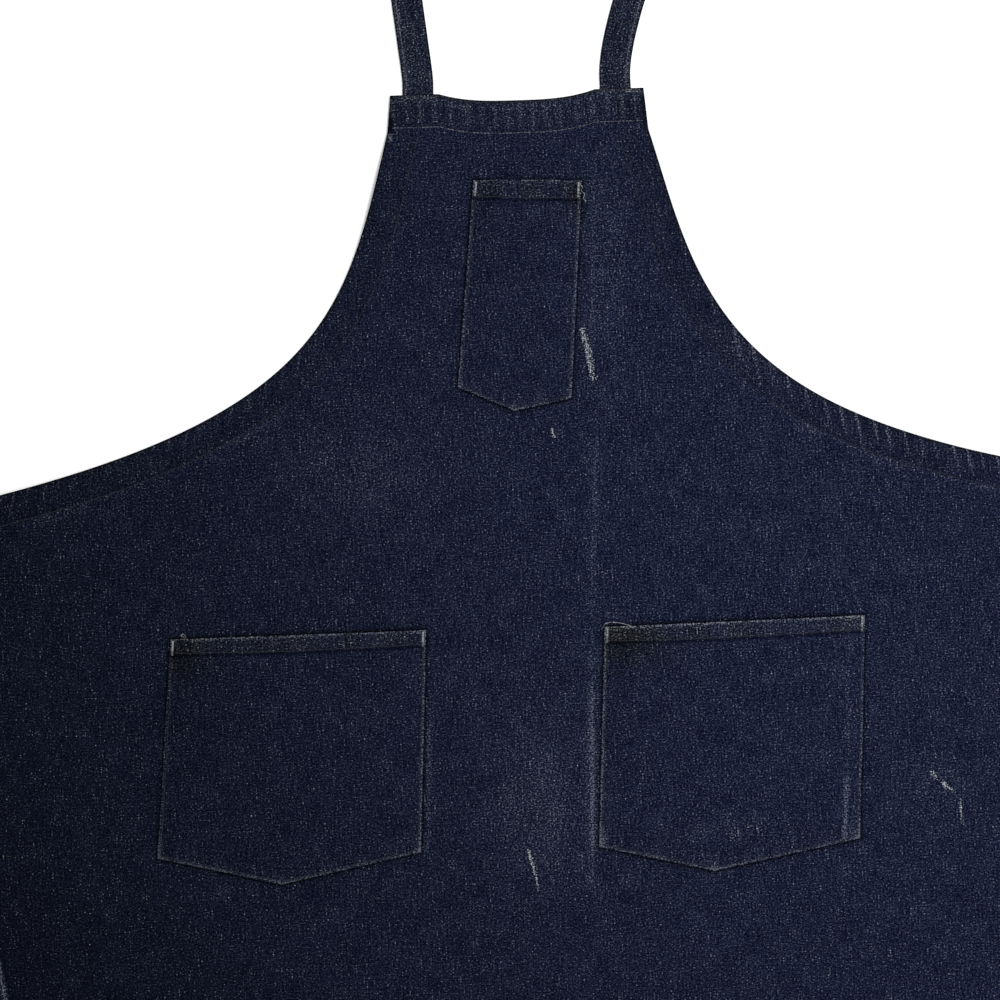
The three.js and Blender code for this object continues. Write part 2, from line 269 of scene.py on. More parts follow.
def settle_sheet():
    """Heights of a coarse sheet after a short simulation, scaled so the highest is LIE_MOST."""
    across = int(2 * HALF_WIDTH / LIE_STEP) + 1
    up = int(-HEM_Y / LIE_STEP) + 1
    x, y = np.meshgrid(np.linspace(-HALF_WIDTH, HALF_WIDTH, across), np.linspace(HEM_Y, 0, up))
    rng = np.random.default_rng(SEED)
    z = np.zeros_like(x)
    for _ in range(LIE_WAVES):
        turn, phase = rng.uniform(0, 2 * np.pi, 2)
        pitch = rng.uniform(110, 330)
        z += np.sin((x * np.cos(turn) + y * np.sin(turn)) * 2 * np.pi / pitch + phase)
    z = LIE_START * np.clip(z / np.abs(z).max() + 0.2, 0, None)
    z[[0, -1]] = 0
    z[:, [0, -1]] = 0
    index = np.arange(across * up).reshape(up, across)
    quads = np.stack([index[:-1, :-1], index[:-1, 1:], index[1:, 1:], index[1:, :-1]], axis=-1)
    mesh = bpy.data.meshes.new("settling")
    places = np.stack([x, y, z + 2], axis=-1).reshape(-1, 3) * MM
    mesh.from_pydata(places.tolist(), [], quads.reshape(-1, 4).tolist())
    sheet = bpy.data.objects.new("settling", mesh)
    half = HALF_WIDTH * MM * 1.5
    ground_mesh = bpy.data.meshes.new("settling_ground")
    corners = [(-half, -2 * half, 0), (half, -2 * half, 0), (half, half, 0), (-half, half, 0)]
    ground_mesh.from_pydata(corners, [], [(0, 1, 2, 3)])
    ground = bpy.data.objects.new("settling_ground", ground_mesh)
    scene = bpy.context.scene
    scene.collection.objects.link(sheet)
    scene.collection.objects.link(ground)
    ground.modifiers.new("Collision", "COLLISION")
    held = sheet.vertex_groups.new(name="held")
    edge = np.unique(np.concatenate([index[0], index[-1], index[:, 0], index[:, -1]]))
    held.add(edge.tolist(), 1.0, "REPLACE")
    cloth = sheet.modifiers.new("Cloth", "CLOTH")
    cloth.settings.quality = 6
    cloth.settings.mass = 0.25
    cloth.settings.bending_stiffness = LIE_STIFF
    cloth.settings.vertex_group_mass = "held"
    cloth.settings.shrink_min = -LIE_SPARE
    cloth.collision_settings.distance_min = 0.002
    for step in range(1, LIE_FRAMES + 1):
        scene.frame_set(step)
    settled = sheet.evaluated_get(bpy.context.evaluated_depsgraph_get()).to_mesh()
    heights = np.empty(across * up * 3)
    settled.vertices.foreach_get("co", heights)
    heights = heights.reshape(up, across, 3)[..., 2] / MM
    for thing in (sheet, ground):
        bpy.data.objects.remove(thing)
    bpy.data.meshes.remove(mesh)
    bpy.data.meshes.remove(ground_mesh)
    scene.frame_set(1)
    # It lies above the ground by the wide collision margin, so heights start from there.
    heights -= np.percentile(heights[2:-2, 2:-2], LIE_LEVEL)
    heights[[0, -1]] = 0
    heights[:, [0, -1]] = 0
    return np.clip(heights, 0, None) * (LIE_MOST / max(heights.max(), 1e-6))


LIE = settle_sheet()


def lie(x, y):
    """How far the cloth is lifted off the floor at x, y, smooth between the coarse heights."""
    rows, columns = LIE.shape
    gx = np.clip((x + HALF_WIDTH) / (2 * HALF_WIDTH), 0, 1) * (columns - 1)
    gy = np.clip((y - HEM_Y) / -HEM_Y, 0, 1) * (rows - 1)
    padded = np.pad(LIE, 2, mode="edge")
    ix, iy = np.floor(gx).astype(int), np.floor(gy).astype(int)
    fx, fy = gx - ix, gy - iy

    def weights(f):
        first, second = (1 - f) ** 3 / 6, (3 * f**3 - 6 * f**2 + 4) / 6
        third, fourth = (-3 * f**3 + 3 * f**2 + 3 * f + 1) / 6, f**3 / 6
        return first, second, third, fourth

    wx, wy = weights(fx), weights(fy)
    total = np.zeros_like(gx, dtype=float)
    for j in range(4):
        for i in range(4):
            total += wy[j] * wx[i] * padded[iy + j + 1, ix + i + 1]
    return total


# ---------- puckers, wear, marks and the fade with painted light ---
PUCKER_PITCH = 12  # distance between puckers along an armhole
PUCKER_WIDTH = 0.65  # of one crest, to where it has fallen to 1/e
PUCKER_REACH = {"left": 22, "right": 25}  # how far in from the edge the puckers run
PUCKER_HIGH = {"left": 0.35, "right": 0.6}
PUCKER_LEAN = 0.2
SEAM_DIP = 0.22  # how deep a row of stitching pulls the panel in
# Distances in from an edge at which the panel's mesh has points.
EDGE_ROWS = (0, 0.4, 0.9, 1.6, 2.4, 4, 6.5, 9.5, 12.5, 15.5, 18.5, 21.5, 23.8, 25, 26.2, 28, 31)
HEM_ROWS = (0, 0.4, 0.9, 1.6, 3, 6, 8.8, 10, 11.2, 13)
BOTTOM_ROWS = (0, 0.4, 0.9, 1.6, 3, 7, 12, 17, 21.6, 23, 24.4, 27)

# White paint: two ends, half width, strength.
PAINT = (
    ((48.0, -191), (55.5, -229), 4.2, 0.78),
    ((48.5, -191), (51, -203), 1.8, 0.92),
    ((51, -206), (54, -222), 2.2, 0.85),
    ((20, -270), (22, -277), 1.4, 1.0),
    ((-9.5, -615.8), (-5, -634), 2.2, 0.9),
    ((-5, -634), (-2.3, -648.9), 1.2, 0.8),
    ((-14.3, -660), (-14.6, -664.5), 1.6, 0.7),
    ((322.8, -561.5), (326, -566), 2.4, 0.8),
    ((332, -571), (338, -575.9), 2.8, 0.9),
    ((345.1, -584.3), (346.5, -604.9), 1.3, 0.9),
    ((326.5, -547), (326.5, -550), 1.2, 0.7),
    ((341.2, -549), (341.2, -552), 1.2, 0.7),
    ((370.6, -607.5), (370.6, -610), 1.3, 0.7),
    ((-429.9, -652.5), (-429.9, -654.5), 1.3, 0.9),
    ((142, -630.5), (143.5, -634), 1.3, 0.8),
    ((171, -601.5), (180, -603.5), 2.2, 0.62),
    ((158, -606), (163, -607), 1.6, 0.6),
    ((201, -605), (205, -607), 1.5, 0.58),
    ((218, -609.5), (222, -610.5), 1.3, 0.6),
    ((236, -541), (237, -546), 1.2, 0.5),
)
# Paler worn patches: middle, half widths, strength.
PATCHES = (
    ((190, -205), (22, 24), 0.16),
    ((74, -134), (17, 95), 0.1),
    ((-140, -300), (60, 34), 0.12),
    ((0, -580), (36, 60), 0.2),
    ((160, -600), (30, 14), 0.08),
    ((330, -575), (24, 22), 0.12),
)
# Old fold lines down the front: two ends, half width, strength.
CREASES = (
    ((62, -30), (53, -260), 1.4, 0.2),
    ((59.4, -230), (45, -470), 1.4, 0.3),
    ((47.5, -430), (41.3, -670), 1.3, 0.75),
    ((-86.5, -470), (-93, -640), 1.2, 0.35),
)


def capsule(x, y, start, end, radius):
    """1 inside a line's thickness, falling to 0 at its rim."""
    start, end = np.array(start, float), np.array(end, float)
    step = end - start
    share = ((x - start[0]) * step[0] + (y - start[1]) * step[1]) / (step @ step)
    share = np.clip(share, 0, 1)
    gap = np.hypot(x - start[0] - share * step[0], y - start[1] - share * step[1])
    return 1 - smoothstep(gap, 0.35 * radius, 1.25 * radius)


def paint_at(x, y):
    paint = np.zeros_like(x, dtype=float)
    for start, end, radius, strength in PAINT:
        paint = np.maximum(paint, strength * capsule(x, y, start, end, radius))
    return paint


def crease(x, y, start, end, width):
    """A fold line, 1 along its middle, that dies away at both ends."""
    start, end = np.array(start, float), np.array(end, float)
    step = end - start
    share = ((x - start[0]) * step[0] + (y - start[1]) * step[1]) / (step @ step)
    across = ((x - start[0]) * step[1] - (y - start[1]) * step[0]) / np.linalg.norm(step)
    taper = smoothstep(share, 0, 0.35) * (1 - smoothstep(share, 0.65, 1))
    return taper * (0.7 * np.exp(-((across / width) ** 2)) + 0.3 * np.exp(-((across / width / 4) ** 2)))


def patches_at(x, y):
    wear = np.zeros_like(x, dtype=float)
    for (cx, cy), (wx, wy), strength in PATCHES:
        wear += strength * np.exp(-(((x - cx) / wx) ** 2) - ((y - cy) / wy) ** 2)
    for start, end, width, strength in CREASES:
        wear += strength * crease(x, y, start, end, width)
    return wear


def fade_at(x, y):
    """How pale the cloth is: darker to the lower left, paler to the right. This is partly the cloth's
    own fading and partly painted light and shade falling off from the right.
    """
    u, v = x / 400, np.minimum((y + 380) / 380, 1.1)
    return np.exp(0.38 * u - 0.3 * u * u - 0.14 * u * v - 0.15 * v * v + 0.02)


def pucker_combs(side):
    """Places across the puckers' direction, and strengths, of the puckers on one armhole."""
    rng = np.random.default_rng([SEED, 1 if side == "left" else 2])
    even = np.arange(60, 560, PUCKER_PITCH)
    places = even + rng.uniform(-1.6, 1.6, len(even))
    return places, rng.uniform(0.5, 1.0, len(places))


def puckers(x, y, side, edge_gap):
    """0 to 1 along the crests of the puckers beside one armhole's edge."""
    out = SIGN[side] * x
    across = out + PUCKER_LEAN * y + 60
    places, strengths = pucker_combs(side)
    crest = np.zeros_like(x, dtype=float)
    for place, strength in zip(places, strengths):
        crest += strength * np.exp(-(((across - place) / PUCKER_WIDTH) ** 2))
    reach = PUCKER_REACH[side]
    inside = 1 - smoothstep(edge_gap, 0.25 * reach, reach)
    outward = 0.25 + 0.75 * smoothstep(out, 135, 185)
    return crest * inside * outward


def bib_ripples(x, depth):
    """Small upright ripples that the turned top's stitching pulls into the bib."""
    wave = 0.5 + 0.5 * np.sin(2 * np.pi * x / 11.5 + 1.4 * np.sin(x / 17))
    return wave**3 * smoothstep(depth, 3, 8) * (1 - smoothstep(depth, 20, 27))


def edge_gaps(x, y):
    """Distances in from the panel's kinds of edge."""
    points = np.stack([x, y], axis=1)
    gaps = {
        "side": HALF_WIDTH - np.abs(x),
        "bottom": y - HEM_Y,
        "bib": np.where(np.abs(x) < BIB_HALF + 4, bib_top_y(x) - y, 1e3),
    }
    for side, line in ARMHOLE_LINE.items():
        whole = np.concatenate([[(SIGN[side] * BIB_HALF, BIB_RISE)], line])
        gap = np.full(len(x), 1e3)
        near = (y > -400) & ((x < 0) == (side == "left"))
        if near.any():
            gap[near] = distance_to_line(points[near], whole)[0]
        gaps[side] = gap
    return gaps


def dip(gap, place, width=1.5):
    """1 along a row of stitching."""
    return np.exp(-(((gap - place) / width) ** 2))


def panel_surface(x, y):
    """Top of the panel at x, y and the gaps to its edges."""
    gaps = edge_gaps(x, y)
    z = PANEL_TOP + lie(x, y)
    for side in ("left", "right"):
        z = z + PUCKER_HIGH[side] * puckers(x, y, side, gaps[side])
        z = z - SEAM_DIP * dip(gaps[side], FACING_STITCH)
    z = z + 0.8 * bib_ripples(x, gaps["bib"])
    z = z - SEAM_DIP * (dip(gaps["bib"], BAND_STITCH) + dip(gaps["bib"], EDGE_STITCH))
    z = z - SEAM_DIP * (dip(gaps["side"], SIDE_STITCH) + dip(gaps["bottom"], BOTTOM_STITCH))
    return z, gaps


# ---------- meshes ----------
def thicken(top, bottom, faces):
    """A closed body from a surface's top and bottom points: (points, [top, bottom, rim])."""
    faces = np.asarray(faces)
    count = len(top)
    sides = np.concatenate([faces[:, [k, (k + 1) % faces.shape[1]]] for k in range(faces.shape[1])])
    keys = sides[:, 0] * count + sides[:, 1]
    rim = sides[~np.isin(keys, sides[:, 1] * count + sides[:, 0])]
    wall = np.stack([rim[:, 1], rim[:, 0], rim[:, 0] + count, rim[:, 1] + count], axis=1)
    return np.concatenate([top, bottom]), [faces, faces[:, ::-1] + count, wall]


def add_piece(name, points, groups, materials, weave, **values):
    """A smooth mesh object. groups are arrays of faces, and materials gives each its finish."""
    mesh = bpy.data.meshes.new(name)
    faces = [face for group in groups for face in np.asarray(group).tolist()]
    mesh.from_pydata(to_row(points).tolist(), [], faces)
    for material in dict.fromkeys(materials):
        mesh.materials.append(material)
    slots = list(dict.fromkeys(materials))
    index = np.concatenate([
        np.full(len(group), slots.index(material)) for group, material in zip(groups, materials)
    ])
    mesh.polygons.foreach_set("material_index", index.astype(np.int32))
    mesh.polygons.foreach_set("use_smooth", np.ones(len(index), dtype=bool))
    attribute = mesh.attributes.new("weave", "FLOAT_VECTOR", "POINT")
    attribute.data.foreach_set("vector", np.asarray(weave, np.float32).ravel())
    for key, value in values.items():
        attribute = mesh.attributes.new(key, "FLOAT", "POINT")
        attribute.data.foreach_set("value", np.asarray(value, np.float32))
    mesh.update()
    piece = bpy.data.objects.new(name, mesh)
    bpy.context.scene.collection.objects.link(piece)
    return piece


def weave_at(x, y, layer):
    """Where the weave's pattern is read. Each layer reads it at another depth."""
    return np.stack([x, y, np.full(len(x), float(layer))], axis=1)


def grid_faces(rows, columns):
    index = np.arange(rows * columns).reshape(rows, columns)
    quads = np.stack([index[:-1, :-1], index[:-1, 1:], index[1:, 1:], index[1:, :-1]], axis=-1)
    return quads.reshape(-1, 4)


def stands_for(piece, nodes, body="apron"):
    """Hides the CAD parts that a piece replaces. It rides on body, unless body is None."""
    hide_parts(*nodes)
    if body:
        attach(piece, body)
    return piece


# ---------- materials ----------
def node_tree(name):
    material = bpy.data.materials.new(name)
    material.use_nodes = True
    return material, material.node_tree.nodes, material.node_tree.links


def math_node(nodes, links, operation, a, b=None, clamp=False):
    node = nodes.new("ShaderNodeMath")
    node.operation = operation
    node.use_clamp = clamp
    for socket, value in zip(node.inputs, (a, b)):
        if isinstance(value, bpy.types.NodeSocket):
            links.new(value, socket)
        elif value is not None:
            socket.default_value = value
    return node.outputs[0]


def weighted_sum(nodes, links, base, terms):
    """base plus each value times its weight."""
    total = base
    for value, weight in terms:
        scaled = math_node(nodes, links, "MULTIPLY", value, weight)
        total = math_node(nodes, links, "ADD", scaled, total)
    return total


def attribute_node(nodes, name, output="Fac"):
    node = nodes.new("ShaderNodeAttribute")
    node.attribute_type = "GEOMETRY"
    node.attribute_name = name
    return node.outputs[output]


def stretched_noise(nodes, links, vector, scale, detail=2.0, roughness=0.6):
    """Noise over the weave with its own scale along each direction, centred on 0."""
    mapping = nodes.new("ShaderNodeMapping")
    mapping.inputs["Scale"].default_value = scale
    links.new(vector, mapping.inputs["Vector"])
    noise = nodes.new("ShaderNodeTexNoise")
    noise.inputs["Scale"].default_value = 1.0
    noise.inputs["Detail"].default_value = detail
    noise.inputs["Roughness"].default_value = roughness
    links.new(mapping.outputs[0], noise.inputs["Vector"])
    return math_node(nodes, links, "SUBTRACT", noise.outputs["Fac"], 0.5)


def ramp(nodes, links, factor, stops):
    node = nodes.new("ShaderNodeValToRGB")
    elements = node.color_ramp.elements
    while len(elements) < len(stops):
        elements.new(0.5)
    for element, (place, colour) in zip(elements, stops):
        element.position = place
        element.color = (*colour, 1)
    links.new(factor, node.inputs["Fac"])
    return node.outputs["Color"]


def twill(nodes, links, vector, pitch, lean):
    """The slanting ribs of a twill weave, 0 to 1."""
    mapping = nodes.new("ShaderNodeMapping")
    mapping.inputs["Rotation"].default_value = (0, 0, lean)
    links.new(vector, mapping.inputs["Vector"])
    wave = nodes.new("ShaderNodeTexWave")
    wave.inputs["Scale"].default_value = math.tau / 20 / pitch
    wave.inputs["Distortion"].default_value = 1.2
    wave.inputs["Detail"].default_value = 1.0
    wave.inputs["Detail Scale"].default_value = 3.0
    links.new(mapping.outputs[0], wave.inputs["Vector"])
    return wave.outputs["Fac"]


def mixed_colour(nodes, links, factor, under, over):
    """under where factor is 0 and over where it is 1. over is a socket or a plain colour."""
    node = nodes.new("ShaderNodeMix")
    node.data_type = "RGBA"
    links.new(factor, node.inputs["Factor"])
    links.new(under, node.inputs["A"])
    if isinstance(over, bpy.types.NodeSocket):
        links.new(over, node.inputs["B"])
    else:
        node.inputs["B"].default_value = (*over, 1)
    return node.outputs["Result"]


def add_bump(nodes, links, height, strength, depth):
    """Bump on the shader from a height, depth millimetres deep."""
    bump = nodes.new("ShaderNodeBump")
    bump.inputs["Strength"].default_value = strength
    bump.inputs["Distance"].default_value = depth * MM
    links.new(height, bump.inputs["Height"])
    links.new(bump.outputs["Normal"], nodes["Principled BSDF"].inputs["Normal"])


PAINT_WHITE = (0.42, 0.46, 0.48)


def denim_material(name, stops, grain, wear_weight=0.74):
    """Twill-woven cotton: speckled, slubbed along the warp, worn pale and painted by its mesh, whose
    attributes also paint light and shade on it.
    """
    material, nodes, links = node_tree(name)
    shader = nodes["Principled BSDF"]
    weave = attribute_node(nodes, "weave", "Vector")
    wear = attribute_node(nodes, "wear")
    paint = attribute_node(nodes, "paint")
    fade = attribute_node(nodes, "fade")
    speck = stretched_noise(nodes, links, weave, (0.72, 0.86, 1), 1.0, 0.5)
    slub = stretched_noise(nodes, links, weave, (1.0, 0.06, 1), 2.0)
    weft = stretched_noise(nodes, links, weave, (0.05, 0.8, 1), 2.0)
    mottle = stretched_noise(nodes, links, weave, (0.05, 0.035, 1), 4.0)
    patch = stretched_noise(nodes, links, weave, (0.22, 0.18, 1), 3.0)
    rib = twill(nodes, links, weave, 0.65, math.radians(62))
    ribbed = math_node(nodes, links, "SUBTRACT", rib, 0.5)
    ragged = math_node(nodes, links, "MULTIPLY_ADD", speck, 4.0)
    ragged.node.inputs[2].default_value = 0.75
    # Wear lightens the cloth through this term, and its negative values are painted shade.
    worn_and_shaded = math_node(nodes, links, "MULTIPLY", wear, ragged)
    factor = weighted_sum(nodes, links, 0.37, [
        (speck, 2.1 * grain), (slub, 0.75 * grain), (weft, 0.4 * grain),
        (mottle, 0.26 * grain), (patch, 0.14 * grain), (ribbed, 0.16), (worn_and_shaded, wear_weight),
    ])
    cloth = ramp(nodes, links, factor, stops)
    # Grime, and painted shade along rolled edges, grey the colour here.
    grimy_and_shaded = ramp(nodes, links, factor, SOIL_AND_SHADE)
    soiled = mixed_colour(nodes, links, attribute_node(nodes, "soil"), cloth, grimy_and_shaded)
    # The colour is scaled by the cloth's fading together with painted light and shade.
    faded = nodes.new("ShaderNodeVectorMath")
    faded.operation = "SCALE"
    links.new(soiled, faded.inputs[0])
    links.new(fade, faded.inputs["Scale"])
    ragged_paint = weighted_sum(nodes, links, -0.72, [(paint, 1.0), (speck, 3.2), (slub, 1.8)])
    covered = math_node(nodes, links, "MULTIPLY", ragged_paint, 1.1, clamp=True)
    splashed = mixed_colour(nodes, links, covered, faded.outputs[0], PAINT_WHITE)
    links.new(splashed, shader.inputs["Base Color"])
    height = weighted_sum(nodes, links, 0.0, [(rib, 0.35), (speck, 0.9), (slub, 0.4)])
    add_bump(nodes, links, height, 1.0, 0.25)
    rough = math_node(nodes, links, "MULTIPLY_ADD", speck, -0.15)
    rough.node.inputs[2].default_value = 0.9
    links.new(rough, shader.inputs["Roughness"])
    shader.inputs["Specular IOR Level"].default_value = 0.025
    shader.inputs["Sheen Weight"].default_value = 0.012
    shader.inputs["Sheen Roughness"].default_value = 0.5
    shader.inputs["Sheen Tint"].default_value = (0.6, 0.68, 0.9, 1)
    return material


def thread_material(name, dark, light):
    """Two-ply sewing thread: light and dark twists along its length, rubbed unevenly."""
    material, nodes, links = node_tree(name)
    shader = nodes["Principled BSDF"]
    weave = attribute_node(nodes, "weave", "Vector")
    wear = attribute_node(nodes, "wear")
    ply = twill(nodes, links, weave, 0.55, math.radians(35))
    rubbed = stretched_noise(nodes, links, weave, (0.12, 0.12, 1), 3.0)
    fluff = stretched_noise(nodes, links, weave, (1.6, 1.6, 1), 2.0)
    factor = weighted_sum(nodes, links, 0.2, [(ply, 0.25), (rubbed, 1.2), (fluff, 0.6), (wear, 0.5)])
    colour = ramp(nodes, links, factor, [(0.1, dark), (0.9, light)])
    links.new(colour, shader.inputs["Base Color"])
    height = weighted_sum(nodes, links, 0.0, [(ply, 1.0), (fluff, 0.5)])
    add_bump(nodes, links, height, 0.7, 0.1)
    shader.inputs["Roughness"].default_value = 0.75
    shader.inputs["Specular IOR Level"].default_value = 0.2
    shader.inputs["Sheen Weight"].default_value = 0.1
    return material


# The same cloth where grime has greyed it, also used for painted shade along rolled edges.
SOIL_AND_SHADE = [
    (0.10, (0.0010, 0.0012, 0.0022)),
    (0.40, (0.0075, 0.0083, 0.0110)),
    (0.70, (0.0330, 0.0350, 0.0400)),
    (1.00, (0.2000, 0.2050, 0.2100)),
]
# Linear colours from darkest indigo to white core yarn.
INDIGO = [
    (0.05, (0.0002, 0.0005, 0.0046)),
    (0.40, (0.0050, 0.0076, 0.0230)),
    (0.70, (0.0215, 0.0275, 0.0520)),
    (1.00, (0.0950, 0.1040, 0.1350)),
]
REVERSE = [
    (0.05, (0.030, 0.036, 0.056)),
    (0.45, (0.100, 0.112, 0.145)),
    (0.95, (0.300, 0.315, 0.350)),
]
# The straps have been rubbed greyer than the panel.
RUBBED = [
    (0.05, (0.0003, 0.0007, 0.0036)),
    (0.40, (0.0054, 0.0074, 0.0180)),
    (0.70, (0.0245, 0.0288, 0.0450)),
    (1.00, (0.1250, 0.1320, 0.1560)),
]
DENIM = denim_material("denim", INDIGO, 1.0)
REVERSE_DENIM = denim_material("denim_wrong_side", REVERSE, 0.65, 0.4)
STRAP_DENIM = denim_material("strap_denim", RUBBED, 1.1)
THREAD = thread_material("stitching", (0.010, 0.013, 0.028), (0.19, 0.205, 0.25))
DARK_THREAD = thread_material("dark_stitching", (0.001, 0.002, 0.006), (0.022, 0.026, 0.042))
TACK_THREAD = thread_material("tack_thread", (0.020, 0.024, 0.032), (0.42, 0.44, 0.47))


# ---------- panel ----------
GRID = 4.2  # spacing of the panel's plain ground
POCKET_ROWS = (-2, 0, 0.7, 1.5, 2.6, 4.5, 8)  # outside a pocket's edge


def pocket_outline(pocket):
    """A pocket's edge in plan, anticlockwise, its first point not repeated."""
    names = ("top_left", "bottom_left", "tip", "bottom_right", "top_right", "top_left")
    corners = [pocket[name] for name in names]
    runs = [resample([a, b], 2.5)[:-1] for a, b in zip(corners, corners[1:])]
    return np.concatenate(runs)


def grown_outline(outline, distance):
    """A closed outline, drawn anticlockwise, moved outwards."""
    closed = np.concatenate([outline[-1:], outline, outline[:1]])
    heading = closed[2:] - closed[:-2]
    heading /= np.linalg.norm(heading, axis=1)[:, None]
    return outline + np.stack([heading[:, 1], -heading[:, 0]], axis=1) * distance


def panel_rows():
    """Points along the panel's edges, pockets and marks, where its mesh is fine."""
    rows = []
    for side in ("left", "right"):
        for distance in EDGE_ROWS[1:]:
            row = armhole_row(side, distance, 1.3)
            keep = (np.abs(row[:, 0]) < HALF_WIDTH - 14) & (bib_top_y(row[:, 0]) - row[:, 1] > 33)
            rows.append(row[keep])
        for distance in HEM_ROWS[1:]:
            x = SIGN[side] * (HALF_WIDTH - distance)
            rows.append(resample([(x, SIDE_CORNER[1] - 34), (x, HEM_Y + 29)], 3))
    for depth in EDGE_ROWS[1:]:
        rows.append(bib_line(depth, BIB_HALF - 3))
    for distance in BOTTOM_ROWS[1:]:
        y = HEM_Y + distance
        rows.append(resample([(-HALF_WIDTH + 14, y), (HALF_WIDTH - 14, y)], 3))
    for pocket in POCKETS.values():
        outline = pocket_outline(pocket)
        rows.extend(grown_outline(outline, distance) for distance in POCKET_ROWS)
    for start, end, radius, _ in PAINT:
        low = np.minimum(start, end) - radius - 2
        high = np.maximum(start, end) + radius + 2
        x, y = np.meshgrid(np.arange(low[0], high[0], 1.1), np.arange(low[1], high[1], 1.1))
        rows.append(np.stack([x.ravel(), y.ravel()], axis=1))
    for start, end, _, _ in CREASES:
        for offset in (-2.6, -1.3, 0, 1.3, 2.6):
            rows.append(resample(np.array([start, end], float) + (offset, 0), 3))
    return np.concatenate(rows)


def inside_polygon(points, polygon):
    inside = np.zeros(len(points), dtype=bool)
    x, y = points[:, 0], points[:, 1]
    for (x0, y0), (x1, y1) in zip(polygon, np.roll(polygon, -1, axis=0)):
        if y0 != y1:
            crosses = (y0 > y) != (y1 > y)
            inside ^= crosses & (x < (x1 - x0) * (y - y0) / (y1 - y0) + x0)
    return inside


def thinned(points, kept, least):
    """Those points at least that far from every kept one."""
    tree = KDTree(len(kept))
    for index, (x, y) in enumerate(kept):
        tree.insert((x, y, 0), index)
    tree.balance()
    clear = [tree.find((x, y, 0))[2] > least for x, y in points]
    return points[np.array(clear)]


def panel_net():
    """The panel's points in plan, and its triangles."""
    outline = panel_outline()
    rows = panel_rows()
    rows = rows[inside_polygon(rows, outline)]
    rows = thinned(rows, outline, 0.3)
    # Every other row of the ground's points is moved on by half a step.
    even = np.arange(-HALF_WIDTH, HALF_WIDTH, GRID)
    heights = np.arange(HEM_Y, BIB_RISE, GRID * math.sqrt(3) / 2)
    grid = np.concatenate([
        np.stack([even + (k % 2) * GRID / 2, np.full(len(even), y)], axis=1)
        for k, y in enumerate(heights)
    ])
    grid = grid[inside_polygon(grid, outline)]
    grid = thinned(grid, np.concatenate([outline, rows]), 0.62 * GRID)
    points = np.concatenate([outline, rows, grid])
    count = len(outline)
    edges = [(k, (k + 1) % count) for k in range(count)]
    made = delaunay_2d_cdt([Vector(p) for p in points.tolist()], edges, [], 1, 1e-3)
    plan = np.array([tuple(v) for v in made[0]])
    faces = np.array([face for face in made[2] if len(face) == 3])
    # Faces are turned to face up, and those with no area are left out.
    a, b, c = (plan[faces[:, k]] for k in range(3))
    turn = (b[:, 0] - a[:, 0]) * (c[:, 1] - a[:, 1]) - (b[:, 1] - a[:, 1]) * (c[:, 0] - a[:, 0])
    faces[turn < 0] = faces[turn < 0][:, ::-1]
    faces = faces[np.abs(turn) > 1e-4]
    used = np.unique(faces)
    renumber = np.zeros(len(plan), dtype=int)
    renumber[used] = np.arange(len(used))
    return plan[used], renumber[faces]


def panel_values(x, y, gaps):
    """Wear, paint, fade and soil over the panel, with painted shade along its rolled edges and around
    its pockets, and painted light and shade in the fade.
    """
    wear = patches_at(x, y)
    outer = np.minimum.reduce([gaps["left"], gaps["right"], gaps["side"], gaps["bottom"]])
    hems = np.minimum(gaps["side"], gaps["bottom"])
    wear += 0.35 * np.exp(-(((hems - 2.0) / 1.3) ** 2))
    # Painted shade: the rolled outer edges are darkened.
    wear -= 0.6 * np.exp(-((outer / 1.1) ** 2))
    for side, strength, line in (("left", 0.55, 0.06), ("right", 1.1, 0.16)):
        wear += strength * puckers(x, y, side, gaps[side])
        turned = gaps[side] < FACING_STITCH
        wear -= np.where(turned, 0.05, 0.0)
        spots = 0.5 + 0.5 * np.sin(x / 9.1 + 2 * np.sin(y / 13.7 + x / 23))
        outward = smoothstep(np.abs(x), 150, 230)
        wear += line * dip(gaps[side], FACING_STITCH + 1.2, 0.9) * outward
        wear += 0.2 * dip(gaps[side], FACING_STITCH + 4, 3) * spots**4 * outward
    wear += 0.28 * bib_ripples(x, gaps["bib"])
    # Painted shade: the bib's top edge is darkened.
    wear -= 0.35 * np.exp(-((gaps["bib"] / 1.2) ** 2))
    wear += 0.16 * dip(gaps["bib"], 5, 2.5)
    wear += 0.3 * (dip(gaps["bottom"], BOTTOM_STITCH + 2, 2) + dip(gaps["side"], SIDE_STITCH + 2, 2))
    wear += 0.7 * capsule(x, y, (-105, 4), (-103.2, -20), 2.0)
    wear += 0.9 * capsule(x, y, (-106, -26), (-105, -29), 2.4)
    wear += 0.6 * capsule(x, y, (90, 5.4), (102, 4.6), 1.8)
    for strap in (-STRAP_X, STRAP_X):
        wear += 0.45 * capsule(x, y, (strap - 13, 5), (strap + 13, 5), 1.5)
    fade = fade_at(x, y)
    # Painted shadow: the panel is darkened along each pocket's edge.
    for pocket in POCKETS.values():
        closed = pocket_outline(pocket)
        closed = np.concatenate([closed, closed[:1]])
        low, high = closed.min(axis=0) - 12, closed.max(axis=0) + 12
        near = (x > low[0]) & (x < high[0]) & (y > low[1]) & (y < high[1])
        plan = np.stack([x[near], y[near]], axis=1)
        gap = distance_to_line(plan, closed)[0]
        fade[near] *= 1 - 0.8 * np.exp(-((gap / 1.9) ** 2))
    # The first term is painted shade along the rolled edges; the other two grey the turned facings and
    # the band.
    soil = 0.5 * np.exp(-((np.minimum(outer, gaps["bib"]) / 2.2) ** 2))
    soil += 0.14 * np.where(np.minimum(gaps["left"], gaps["right"]) < FACING_STITCH, 1, 0)
    soil += 0.1 * np.where((gaps["bib"] < BAND_STITCH) & (gaps["bib"] > -1), 1, 0)
    return {"wear": wear, "paint": paint_at(x, y), "fade": fade, "soil": np.clip(soil, 0, 1)}


